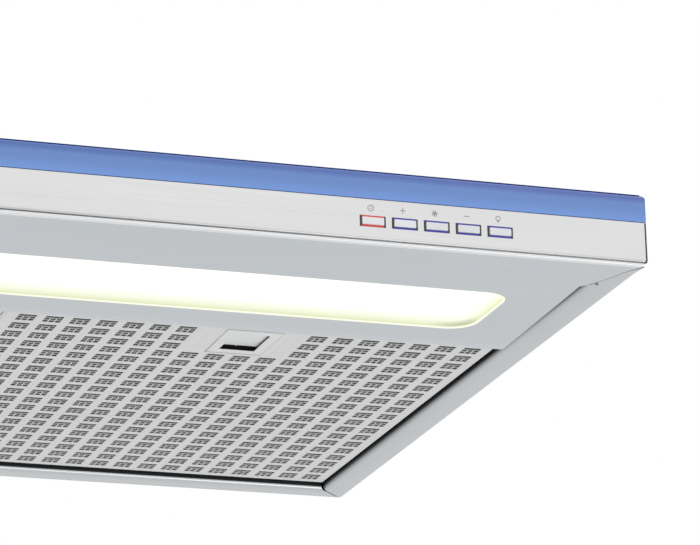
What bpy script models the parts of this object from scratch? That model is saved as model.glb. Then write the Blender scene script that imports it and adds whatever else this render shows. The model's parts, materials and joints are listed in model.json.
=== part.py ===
"""Under cabinet range hood, 600 mm wide: slim steel casing with a tinted front strip, five push
buttons, a lit underside panel, two hinged grease filters, a centrifugal blower and a duct collar.

Bench coordinates are used for every size below: millimetres, with x from the middle of the hood
to the right, depth from the front face to the back, and height above the flat underside.
point() turns them into the part's own frame, in metres, whose origin lies on the flat top."""

import math

import bmesh
import bpy

MM = 0.001
GAP = 0.3

# casing
WIDTH = 600.0
DEPTH = 478.0
HEIGHT = 100.0
SHEET = 1.0
ORIGIN_DEPTH = 300.0
HALF = WIDTH / 2
INSIDE = HALF - SHEET - 0.4
FLANGE_INNER_X = 282.2
FLANGE_INNER_DEPTH = 461.0
LIP = 7.0
SLOPE_FRONT = (14.0, 37.6)
SLOPE_BACK = (190.0, HEIGHT)
BODY_FRONT = 4.6
SEAM = [(299.6, 4.6), (293.0, 15.0), (289.5, 26.0), (285.0, 36.0), (281.8, 43.0)]
SEAM_HALF = 0.2
RIVET = (286.6, 36.5)
BEND = 1.6
SCREW_HOLES = [(-230.0, 220.0), (230.0, 220.0), (-230.0, 440.0), (230.0, 440.0)]

# front trim
FASCIA_LOW = 1.05
FASCIA_HIGH = 22.4
FASCIA_THICK = 1.2
STRIP_LOW = 22.8
STRIP_HIGH = 37.7
STRIP_THICK = 3.8
PANEL_LEG = 2.3
PANEL_REAR = 160.0
PANEL_LIP = 12.0

# light
LIGHT_HALF = 251.5
LIGHT_FRONT = 64.4
LIGHT_REAR = 130.6
LIGHT_CORNER = 15.0
TUBE_DEPTH = 96.5
TUBE_HEIGHT = 20.0
TUBE_RADIUS = 8.0

# controls
BUTTON_NAMES = ["timer", "plus", "fan", "minus", "light"]
BUTTON_FIRST_X = 150.95
BUTTON_PITCH = 17.1
BUTTON_HEIGHT = 10.8
FRAME_SIZE = (13.5, 5.6)
CAP_SIZE = (11.5, 3.8)
BUTTON_PROUD = 1.0
BOARD_FRONT = 12.0
HOUSING_X = (138.0, 232.0)

# filters
FILTER_INNER = 4.8
FILTER_OUTER = 280.4
FILTER_FRONT = 161.0
FILTER_REAR = 456.0
FILTER_LOW = 2.2
FILTER_RIM = 10.0
FILTER_SHEET = 0.8
LATCH_X = 144.0
LATCH_HALF = 15.6
LATCH_FRONT = 167.0
LATCH_REAR = 207.8
WINDOW_HALF = 10.0
WINDOW_FRONT = 173.0
WINDOW_REAR = 202.3
BOLT_TIP = 160.35
BOLT_HALF = 6.0

# blower and duct
DUCT_DEPTH = 403.0
DUCT_RADIUS = 59.6
DUCT_RISE = 30.0
SCROLL_X = -130.0
SCROLL_DEPTH = 330.0
SCROLL_START = 90.0
SCROLL_GROWTH = 42.0
SCROLL_SWEEP = 310
TONGUE_ANGLE = 40
PLENUM_HALF = 62.0
PLENUM_FRONT = 343.0
PLENUM_REAR = SCROLL_DEPTH + SCROLL_START + SCROLL_GROWTH
BLOWER_LOW = 18.0
BLOWER_HIGH = 97.0
BLOWER_SHEET = 1.5
INLET_RADIUS = 66.0
IMPELLER_RADIUS = 84.0
IMPELLER_LOW = 25.0
IMPELLER_HIGH = 66.0
BLADES = 28
SHAFT_RADIUS = 4.0
MOTOR_RADIUS = 42.0
FLAP_HEIGHT = 112.0
FLAP_RADIUS = 57.3
PIN_RADIUS = 1.5
GLAND = (120.0, 440.0)
GLAND_RADIUS = 9.0

FINISHES = {
    "brushed_steel": ((0.62, 0.64, 0.65, 1.0), 0.32, 1.0),
    "filter_steel": ((0.68, 0.68, 0.68, 1.0), 0.42, 1.0),
    "galvanised": ((0.55, 0.57, 0.58, 1.0), 0.45, 1.0),
    "aluminium": ((0.70, 0.71, 0.72, 1.0), 0.4, 1.0),
    "tinted_acrylic": ((0.10, 0.22, 0.62, 0.9), 0.08, 0.0),
    "seal_rubber": ((0.05, 0.05, 0.05, 1.0), 0.7, 0.0),
    "diffuser_acrylic": ((0.93, 0.95, 0.80, 0.8), 0.35, 0.0),
    "white_enamel": ((0.90, 0.90, 0.88, 1.0), 0.35, 0.0),
    "lamp_glass": ((0.95, 0.96, 0.93, 1.0), 0.2, 0.0),
    "cap_plastic": ((0.80, 0.81, 0.83, 1.0), 0.3, 0.0),
    "red_lens": ((0.75, 0.06, 0.04, 1.0), 0.25, 0.0),
    "blue_lens": ((0.05, 0.05, 0.50, 1.0), 0.25, 0.0),
    "black_plastic": ((0.03, 0.03, 0.03, 1.0), 0.5, 0.0),
    "grey_plastic": ((0.55, 0.55, 0.55, 1.0), 0.5, 0.0),
    "circuit_board": ((0.04, 0.22, 0.10, 1.0), 0.5, 0.0),
    "spring_steel": ((0.45, 0.45, 0.46, 1.0), 0.3, 1.0),
}


def clear_scene():
    for item in list(bpy.data.objects):
        bpy.data.objects.remove(item, do_unlink=True)


def point(x, depth, height):
    """Bench millimetres to metres in the part's frame."""
    return (x * MM, (depth - ORIGIN_DEPTH) * MM, (height - HEIGHT) * MM)


def own_material(name, finish):
    colour, roughness, metallic = FINISHES[finish]
    material = bpy.data.materials.new(name)
    material.use_nodes = True
    shader = material.node_tree.nodes["Principled BSDF"]
    shader.inputs["Base Color"].default_value = colour
    shader.inputs["Roughness"].default_value = roughness
    shader.inputs["Metallic"].default_value = metallic
    return material


def make_object(name, shape, finish):
    """Turn a finished bmesh into a named object, or into a cutter where finish is None."""
    mesh = bpy.data.meshes.new(name)
    shape.to_mesh(mesh)
    shape.free()
    piece = bpy.data.objects.new(name, mesh)
    bpy.context.scene.collection.objects.link(piece)
    if finish is None:
        piece.hide_render = True
        piece.display_type = "WIRE"
    else:
        mesh.materials.append(own_material(name, finish))
    return piece


def closed_shape(shape):
    bmesh.ops.remove_doubles(shape, verts=shape.verts, dist=1e-6)
    bmesh.ops.recalc_face_normals(shape, faces=shape.faces)
    return shape


def prism(name, axis, outline, low, high, finish):
    """Straight solid: an outline of (depth, height), (x, height) or (x, depth) run along an axis."""
    order = {
        "X": lambda u, v, along: (along, u, v),
        "Y": lambda u, v, along: (u, along, v),
        "Z": lambda u, v, along: (u, v, along),
    }[axis]
    shape = bmesh.new()
    rings = []
    for along in (low, high):
        rings.append([shape.verts.new(point(*order(u, v, along))) for u, v in outline])
    shape.faces.new(rings[0])
    shape.faces.new(rings[1])
    for index in range(len(outline)):
        after = (index + 1) % len(outline)
        shape.faces.new([rings[0][index], rings[0][after], rings[1][after], rings[1][index]])
    return make_object(name, closed_shape(shape), finish)


def block(name, x, depth, height, finish):
    """Rectangular solid from (low, high) pairs."""
    outline = [(depth[0], height[0]), (depth[1], height[0]), (depth[1], height[1]), (depth[0], height[1])]
    return prism(name, "X", outline, x[0], x[1], finish)


def rounded_rectangle(half_u, low_v, high_v, radii, steps=5):
    """Outline about u = 0, with corner radii at low right, high right, high left and low left."""
    corners = [(1, -1, low_v), (1, 1, high_v), (-1, 1, high_v), (-1, -1, low_v)]
    outline = []
    for turn, ((side, rise, edge), radius) in enumerate(zip(corners, radii)):
        if radius == 0:
            outline.append((side * half_u, edge))
            continue
        for step in range(steps + 1):
            angle = math.radians(-90 + 90 * turn + 90 * step / steps)
            centre_u = side * (half_u - radius)
            centre_v = edge - rise * radius
            outline.append((centre_u + radius * math.cos(angle), centre_v + radius * math.sin(angle)))
    return outline


def circle(centre, radius, count, start=0.0):
    return [
        (
            centre[0] + radius * math.cos(start + math.tau * step / count),
            centre[1] + radius * math.sin(start + math.tau * step / count),
        )
        for step in range(count)
    ]


def turned(name, profile, centre, finish, steps=32, axis="Z"):
    """Solid of revolution: a closed profile of (radius, along) spun about a line through centre."""
    shape = bmesh.new()
    ring = []
    for radius, along in profile:
        offset = {"Z": (radius, 0.0, along), "X": (along, 0.0, radius)}[axis]
        spot = [base + change for base, change in zip(centre, offset)]
        ring.append(shape.verts.new(point(*spot)))
    edges = []
    for index, (radius, _) in enumerate(profile):
        after = (index + 1) % len(profile)
        if radius > 0 or profile[after][0] > 0:
            edges.append(shape.edges.new((ring[index], ring[after])))
    bmesh.ops.spin(
        shape,
        geom=[*edges, *ring],
        cent=point(*centre),
        axis={"Z": (0, 0, 1), "X": (1, 0, 0)}[axis],
        angle=math.tau,
        steps=steps,
    )
    piece = make_object(name, closed_shape(shape), finish)
    piece.data.shade_smooth()
    piece.data.set_sharp_from_angle(angle=math.radians(35))
    return piece


def folded(name, panels, facing, thickness, finish, bend=BEND):
    """Folded sheet: flat panels, given on the outside, that share their fold edges."""
    shape = bmesh.new()
    corners = {}
    for panel in panels:
        for corner in panel:
            if corner not in corners:
                corners[corner] = shape.verts.new(point(*corner))
    faces = [shape.faces.new([corners[corner] for corner in panel]) for panel in panels]
    bmesh.ops.recalc_face_normals(shape, faces=shape.faces)
    faces[0].normal_update()
    if sum(a * b for a, b in zip(faces[0].normal, facing)) < 0:
        bmesh.ops.reverse_faces(shape, faces=shape.faces)
    piece = make_object(name, shape, finish)
    if bend > 0:
        fold = piece.modifiers.new("bend", "BEVEL")
        fold.width = bend * MM
        fold.segments = 2
        fold.limit_method = "ANGLE"
        fold.angle_limit = math.radians(12)
    wall = piece.modifiers.new("sheet", "SOLIDIFY")
    wall.thickness = thickness * MM
    wall.offset = -1.0
    wall.use_even_offset = True
    return piece


def combine(piece, tool, operation):
    """Cut a tool out of a piece, or weld it on."""
    tool.hide_render = True
    tool.display_type = "WIRE"
    step = piece.modifiers.new(tool.name, "BOOLEAN")
    step.operation = operation
    step.object = tool
    step.solver = "EXACT"
    return piece


def cut(piece, tool):
    return combine(piece, tool, "DIFFERENCE")


def weld(piece, tool):
    return combine(piece, tool, "UNION")


def strip_panel(line, half):
    """Panels of a sheet that runs straight across the hood, following a (depth, height) line."""
    panels = []
    for (depth_a, height_a), (depth_b, height_b) in zip(line, line[1:]):
        panels.append([
            (-half, depth_a, height_a), (half, depth_a, height_a),
            (half, depth_b, height_b), (-half, depth_b, height_b),
        ])
    return panels


def side_panel(side):
    """Side wall with its bottom flange, mitred front and back, and the flange's upturned lip."""
    name = "side_panel_right" if side > 0 else "side_panel_left"
    outer = side * HALF
    inner = side * FLANGE_INNER_X
    back = DEPTH - GAP
    wall = [
        (outer, BODY_FRONT, 0.0), (outer, back, 0.0), (outer, back, HEIGHT), (outer, *SLOPE_BACK),
        (outer, *SLOPE_FRONT), (outer, BODY_FRONT, SLOPE_FRONT[1]),
    ]
    seam = [(side * (x + SEAM_HALF), depth, 0.0) for x, depth in SEAM[1:-1]]
    seam_end = (inner, SEAM[-1][1], 0.0)
    rear = (inner, FLANGE_INNER_DEPTH, 0.0)
    flange = [(outer, BODY_FRONT, 0.0), *seam, seam_end, rear, (outer, back, 0.0)]
    lip = [seam_end, rear, (inner, FLANGE_INNER_DEPTH, LIP), (inner, SEAM[-1][1], LIP)]
    return folded(name, [wall, flange, lip], (side, 0, 0), SHEET, "brushed_steel")


def rear_panel():
    """Back wall with a bottom flange mitred to the side flanges, and its upturned lip."""
    mitre_x = FLANGE_INNER_X - 0.9
    wall_top = HEIGHT - SHEET - GAP
    wall = [
        (-INSIDE, DEPTH, 0.0), (INSIDE, DEPTH, 0.0), (INSIDE, DEPTH, wall_top), (-INSIDE, DEPTH, wall_top),
    ]
    flange = [
        (-INSIDE, DEPTH, 0.0), (INSIDE, DEPTH, 0.0), (INSIDE, DEPTH - 1.1, 0.0),
        (mitre_x, FLANGE_INNER_DEPTH, 0.0), (-mitre_x, FLANGE_INNER_DEPTH, 0.0),
        (-INSIDE, DEPTH - 1.1, 0.0),
    ]
    lip = [
        (mitre_x, FLANGE_INNER_DEPTH, 0.0), (-mitre_x, FLANGE_INNER_DEPTH, 0.0),
        (-mitre_x, FLANGE_INNER_DEPTH, LIP), (mitre_x, FLANGE_INNER_DEPTH, LIP),
    ]
    return folded("rear_panel", [wall, flange, lip], (0, 1, 0), SHEET, "brushed_steel", bend=1.2)


def top_panel():
    """Roof: front leg, sloping part and flat top, with the duct, cord and hanging holes."""
    line = [(BODY_FRONT, 24.0), (BODY_FRONT, SLOPE_FRONT[1]), SLOPE_FRONT, SLOPE_BACK, (DEPTH, HEIGHT)]
    piece = folded("top_panel", strip_panel(line, INSIDE), (0, -1, 0), SHEET, "brushed_steel")
    holes = [((0.0, DUCT_DEPTH), DUCT_RADIUS + 0.4, 48), (GLAND, GLAND_RADIUS + GAP, 20)]
    holes += [(spot, 2.6, 12) for spot in SCREW_HOLES]
    for number, (centre, radius, count) in enumerate(holes):
        tool = prism(f"top_hole_{number}", "Z", circle(centre, radius, count), HEIGHT - 3, HEIGHT + 2, None)
        cut(piece, tool)
    return piece


def front_panel():
    """Underside panel with the lamp opening, a front leg behind the fascia and a rear lip."""
    leg_half = HALF - GAP
    right = [(leg_half, PANEL_LEG, 0.0), (leg_half - 0.9, BODY_FRONT - 0.4, 0.0)]
    right += [(x - SEAM_HALF, depth, 0.0) for x, depth in SEAM[1:]]
    right.append((SEAM[-1][0] - SEAM_HALF, PANEL_REAR, 0.0))
    left = [(-x, depth, height) for x, depth, height in reversed(right)]
    lip_half = SEAM[-1][0] - SEAM_HALF
    underside = right + left
    leg = [
        (-leg_half, PANEL_LEG, 0.0), (leg_half, PANEL_LEG, 0.0),
        (leg_half, PANEL_LEG, FASCIA_HIGH), (-leg_half, PANEL_LEG, FASCIA_HIGH),
    ]
    lip = [
        (lip_half, PANEL_REAR, 0.0), (-lip_half, PANEL_REAR, 0.0),
        (-lip_half, PANEL_REAR, PANEL_LIP), (lip_half, PANEL_REAR, PANEL_LIP),
    ]
    piece = folded("front_panel", [underside, leg, lip], (0, 0, -1), SHEET, "brushed_steel")
    window = rounded_rectangle(LIGHT_HALF, LIGHT_FRONT, LIGHT_REAR, [LIGHT_CORNER] * 4)
    cut(piece, prism("lamp_opening", "Z", window, -3.0, 5.0, None))
    cut(piece, block("board_opening", (139.5, 230.5), (0.0, 4.2), (3.8, 19.8), None))
    for side in (-1, 1):
        centre = side * LATCH_X
        slot = (centre - BOLT_HALF - 0.8, centre + BOLT_HALF + 0.8)
        cut(piece, block(f"bolt_slot_{side}", slot, (PANEL_REAR - 3, PANEL_REAR + 2), (3.4, 7.6), None))
    return piece


def front_trim():
    """Fascia plate with the button openings, the dark seal round it and the tinted strip above."""
    outline = rounded_rectangle(HALF - 1.0, FASCIA_LOW, FASCIA_HIGH, [1.6, 0, 0, 1.6], 3)
    fascia = prism("fascia", "Y", outline, 0.0, FASCIA_THICK, "brushed_steel")
    for number, name in enumerate(BUTTON_NAMES):
        x = BUTTON_FIRST_X + number * BUTTON_PITCH
        half = (FRAME_SIZE[0] / 2 + 0.2, FRAME_SIZE[1] / 2 + 0.2)
        span = (BUTTON_HEIGHT - half[1], BUTTON_HEIGHT + half[1])
        cut(fascia, block(f"{name}_opening", (x - half[0], x + half[0]), (-2.0, 3.0), span, None))

    outer = rounded_rectangle(HALF, 0.15, FASCIA_HIGH, [2.2, 0, 0, 2.2], 3)
    seal = prism("fascia_seal", "Y", outer, 0.15, PANEL_LEG - GAP, "seal_rubber")
    hollow = rounded_rectangle(HALF - 0.7, 0.75, FASCIA_HIGH + 5, [1.8, 0, 0, 1.8], 3)
    cut(seal, prism("seal_hollow", "Y", hollow, -2.0, 5.0, None))

    outline = rounded_rectangle(HALF, STRIP_LOW, STRIP_HIGH, [0, 2.8, 2.8, 0], 4)
    strip = prism("tint_strip", "Y", outline, 0.0, STRIP_THICK, "tinted_acrylic")
    shape = bmesh.new()
    shape.from_mesh(strip.data)
    front = point(0, 0, 0)[1]
    floor = point(0, 0, STRIP_LOW)[2]
    rim = [
        edge for edge in shape.edges
        if all(abs(vert.co.y - front) < 1e-6 for vert in edge.verts)
        and not all(abs(vert.co.z - floor) < 1e-6 for vert in edge.verts)
    ]
    bmesh.ops.bevel(shape, geom=rim, offset=2.2 * MM, segments=3, profile=0.5, affect="EDGES")
    shape.to_mesh(strip.data)
    shape.free()


def light():
    """Recessed diffuser, reflector trough, fluorescent tube with its holders, and the ballast."""
    levels = [(-7.0, 1.4), (0.5, 1.4), (1.2, 3.2), (2.8, 6.2), (5.6, 8.2), (9.0, 8.9)]
    shape = bmesh.new()
    rings = []
    for inset, height in levels:
        outline = rounded_rectangle(
            LIGHT_HALF - inset, LIGHT_FRONT + inset, LIGHT_REAR - inset, [LIGHT_CORNER - inset * 0.6] * 4)
        rings.append([shape.verts.new(point(u, v, height)) for u, v in outline])
    for lower, upper in zip(rings, rings[1:]):
        for index in range(len(lower)):
            after = (index + 1) % len(lower)
            shape.faces.new([lower[index], lower[after], upper[after], upper[index]])
    window = shape.faces.new(rings[-1])
    bmesh.ops.recalc_face_normals(shape, faces=shape.faces)
    window.normal_update()
    if window.normal.z > 0:
        bmesh.ops.reverse_faces(shape, faces=shape.faces)
    diffuser = make_object("light_diffuser", shape, "diffuser_acrylic")
    wall = diffuser.modifiers.new("wall", "SOLIDIFY")
    wall.thickness = 1.4 * MM
    wall.offset = -1.0

    trough = [(53.0, 3.4), (59.0, 3.4), (70.0, 32.0), (123.0, 32.0), (134.0, 3.4), (140.0, 3.4)]
    folded("lamp_reflector", strip_panel(trough, 264.0), (0, 0, -1), 0.7, "white_enamel", bend=0)

    cap_end = 252.0
    profile = [(0, -cap_end), (4, -cap_end), (6, -248.0), (TUBE_RADIUS, -244.0)]
    profile += [(radius, -along) for radius, along in reversed(profile)]
    turned("lamp_tube", profile, (0.0, TUBE_DEPTH, TUBE_HEIGHT), "lamp_glass", steps=16, axis="X")

    for side, name in ((-1, "lampholder_left"), (1, "lampholder_right")):
        outline = [
            (TUBE_DEPTH - 9, 10.7), (TUBE_DEPTH + 9, 10.7), (TUBE_DEPTH + 9, 26.0),
            (TUBE_DEPTH + 5, 30.8), (TUBE_DEPTH - 5, 30.8), (TUBE_DEPTH - 9, 26.0),
        ]
        ends = sorted((side * (cap_end + GAP), side * 263.0))
        prism(name, "X", outline, ends[0], ends[1], "white_enamel")
    block("lamp_ballast", (-210.0, -60.0), (12.0, 44.0), (1.3, 24.0), "white_enamel")


def controls():
    """Five push buttons in lit frames, the switch board behind them and its housing."""
    stem_end = BOARD_FRONT - 4.9
    board = block(
        "control_board", (140.0, 230.0), (BOARD_FRONT, BOARD_FRONT + 1.6), (4.4, 19.6), "circuit_board")
    for number, name in enumerate(BUTTON_NAMES):
        x = BUTTON_FIRST_X + number * BUTTON_PITCH
        half_x, half_z = CAP_SIZE[0] / 2, CAP_SIZE[1] / 2
        cap = block(
            f"{name}_button", (x - half_x, x + half_x), (-BUTTON_PROUD, 2.6),
            (BUTTON_HEIGHT - half_z, BUTTON_HEIGHT + half_z), "cap_plastic")
        collar = block(
            f"{name}_flange", (x - half_x - 1.2, x + half_x + 1.2), (3.4, 4.4),
            (BUTTON_HEIGHT - half_z - 0.9, BUTTON_HEIGHT + half_z + 0.9), None)
        neck = block(
            f"{name}_neck", (x - 3.0, x + 3.0), (2.0, stem_end),
            (BUTTON_HEIGHT - 1.5, BUTTON_HEIGHT + 1.5), None)
        weld(cap, neck)
        weld(cap, collar)

        lens = "red_lens" if number == 0 else "blue_lens"
        frame = block(
            f"{name}_frame", (x - FRAME_SIZE[0] / 2, x + FRAME_SIZE[0] / 2), (-0.1, 1.9),
            (BUTTON_HEIGHT - FRAME_SIZE[1] / 2, BUTTON_HEIGHT + FRAME_SIZE[1] / 2), lens)
        cut(frame, block(
            f"{name}_frame_hole", (x - half_x - 0.25, x + half_x + 0.25), (-2.0, 4.0),
            (BUTTON_HEIGHT - half_z - 0.25, BUTTON_HEIGHT + half_z + 0.25), None))

        switch = block(
            f"{name}_switch", (x - 3.0, x + 3.0), (BOARD_FRONT - 3.8, BOARD_FRONT + 0.5),
            (BUTTON_HEIGHT - 3.0, BUTTON_HEIGHT + 3.0), None)
        weld(board, switch)

    low_x, high_x = HOUSING_X
    front, back, low, high = 4.9, 17.0, 2.6, 21.4
    floor = [(low_x, front, low), (high_x, front, low), (high_x, back, low), (low_x, back, low)]
    roof = [(low_x, front, high), (high_x, front, high), (high_x, back, high), (low_x, back, high)]
    rear = [(low_x, back, low), (high_x, back, low), (high_x, back, high), (low_x, back, high)]
    near = [(low_x, front, low), (low_x, back, low), (low_x, back, high), (low_x, front, high)]
    far = [(high_x, front, low), (high_x, back, low), (high_x, back, high), (high_x, front, high)]
    folded("control_housing", [floor, roof, rear, near, far], (0, 0, -1), 1.3, "black_plastic", bend=0)


def helix(name, centre, radius, wire, start, end, turns, finish):
    """Coil spring along the depth axis."""
    curve = bpy.data.curves.new(name, "CURVE")
    curve.dimensions = "3D"
    curve.bevel_depth = wire * MM
    curve.bevel_resolution = 1
    curve.use_fill_caps = True
    count = turns * 10 + 1
    spline = curve.splines.new("POLY")
    spline.points.add(count - 1)
    for index in range(count):
        angle = math.tau * index / 10
        share = index / (count - 1)
        spot = point(
            centre[0] + radius * math.cos(angle), start + (end - start) * share,
            centre[1] + radius * math.sin(angle))
        spline.points[index].co = (*spot, 1.0)
    curve.materials.append(own_material(name, finish))
    piece = bpy.data.objects.new(name, curve)
    bpy.context.scene.collection.objects.link(piece)
    return piece


def grease_filter(side):
    """One filter cassette: tray with hanging tabs, mesh pack, latch bezel, slider and spring."""
    hand = "right" if side > 0 else "left"
    low_x, high_x = sorted((side * FILTER_INNER, side * FILTER_OUTER))
    centre = side * LATCH_X
    corner = {
        (u, v): ((low_x, high_x)[u], (FILTER_FRONT, FILTER_REAR)[v]) for u in (0, 1) for v in (0, 1)}
    ring = [corner[0, 0], corner[1, 0], corner[1, 1], corner[0, 1]]
    face = [(x, depth, FILTER_LOW) for x, depth in ring]
    rims = []
    for (xa, da), (xb, db) in zip(ring, ring[1:] + ring[:1]):
        rims.append([(xa, da, FILTER_LOW), (xb, db, FILTER_LOW), (xb, db, FILTER_RIM), (xa, da, FILTER_RIM)])
    tray = folded(f"filter_tray_{hand}", [face, *rims], (0, 0, -1), FILTER_SHEET, "filter_steel", bend=0)
    cut(tray, block(
        f"latch_hole_{hand}", (centre - LATCH_HALF - GAP, centre + LATCH_HALF + GAP),
        (LATCH_FRONT - GAP, LATCH_REAR + GAP), (0.0, 6.0), None))
    cut(tray, block(
        f"bolt_notch_{hand}", (centre - BOLT_HALF - 0.5, centre + BOLT_HALF + 0.5),
        (FILTER_FRONT - 2, FILTER_FRONT + 3), (3.6, 7.4), None))
    for number, offset in enumerate((-90.0, 90.0)):
        tab = block(
            f"tab_{hand}_{number}", (centre + offset - 12, centre + offset + 12),
            (FILTER_REAR - 0.5, FILTER_REAR + 10.0), (8.0, 9.2), None)
        weld(tray, tab)

    mesh = block(
        f"filter_mesh_{hand}", (low_x + 1.2, high_x - 1.2), (FILTER_FRONT + 1.2, FILTER_REAR - 1.2),
        (FILTER_LOW + FILTER_SHEET + GAP, 5.3), "aluminium")
    cut(mesh, block(
        f"mesh_notch_{hand}", (centre - LATCH_HALF - 1.0, centre + LATCH_HALF + 1.0),
        (FILTER_FRONT - 2, LATCH_REAR + 1.0), (0.0, 15.0), None))

    bezel_low = FILTER_LOW - 0.3
    housing = block(
        f"latch_housing_{hand}", (centre - LATCH_HALF, centre + LATCH_HALF), (LATCH_FRONT, LATCH_REAR),
        (bezel_low, 8.6), "filter_steel")
    cut(housing, block(
        f"latch_cavity_{hand}", (centre - 13.3, centre + 13.3), (168.3, 203.8), (bezel_low + 0.9, 7.8), None))
    cut(housing, block(
        f"latch_window_{hand}", (centre - WINDOW_HALF, centre + WINDOW_HALF), (WINDOW_FRONT, WINDOW_REAR),
        (0.0, 5.0), None))
    cut(housing, block(
        f"latch_bolt_hole_{hand}", (centre - BOLT_HALF - 0.4, centre + BOLT_HALF + 0.4), (165.0, 172.0),
        (3.7, 7.3), None))

    slider = block(
        f"latch_slider_{hand}", (centre - 12.8, centre + 12.8), (172.0, 196.5),
        (bezel_low + 1.2, bezel_low + 2.6), "filter_steel")
    weld(slider, block(
        f"latch_bolt_{hand}", (centre - BOLT_HALF, centre + BOLT_HALF), (BOLT_TIP, 184.8), (4.0, 6.9), None))
    helix(f"latch_spring_{hand}", (centre, 6.1), 1.2, 0.25, 190.8, 203.3, 5, "spring_steel")


def divider():
    """Channel between the two filters, from the front panel's lip to the rear flange."""
    line = [(-4.4, 12.0), (-4.4, FILTER_LOW), (4.4, FILTER_LOW), (4.4, 12.0)]
    panels = []
    ends = (PANEL_REAR + GAP, FLANGE_INNER_DEPTH - GAP)
    for (xa, ha), (xb, hb) in zip(line, line[1:]):
        panels.append([(xa, ends[0], ha), (xb, ends[0], hb), (xb, ends[1], hb), (xa, ends[1], ha)])
    folded("filter_divider", panels, (-1, 0, 0), 0.8, "filter_steel", bend=0.8)


def scroll_outline(inset):
    """Outline of the blower's scroll and the plenum below the duct, seen from above."""
    outline = []
    steps = 24
    for step in range(steps + 1):
        share = step / steps
        angle = math.radians(TONGUE_ANGLE - SCROLL_SWEEP * share)
        radius = SCROLL_START + SCROLL_GROWTH * share - inset
        outline.append((SCROLL_X + radius * math.cos(angle), SCROLL_DEPTH + radius * math.sin(angle)))
    tongue = (
        SCROLL_X + SCROLL_START * math.cos(math.radians(TONGUE_ANGLE)),
        SCROLL_DEPTH + SCROLL_START * math.sin(math.radians(TONGUE_ANGLE)))
    outline += [
        (PLENUM_HALF - inset, PLENUM_REAR - inset), (PLENUM_HALF - inset, PLENUM_FRONT + inset),
        (-18.0 + 0.5 * inset, PLENUM_FRONT + inset), (-48.0 + 0.78 * inset, 380.0 + 0.63 * inset),
    ]
    if inset > 0:
        outline.append((tongue[0] - inset, tongue[1] + 1.3 * inset))
    return outline


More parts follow.
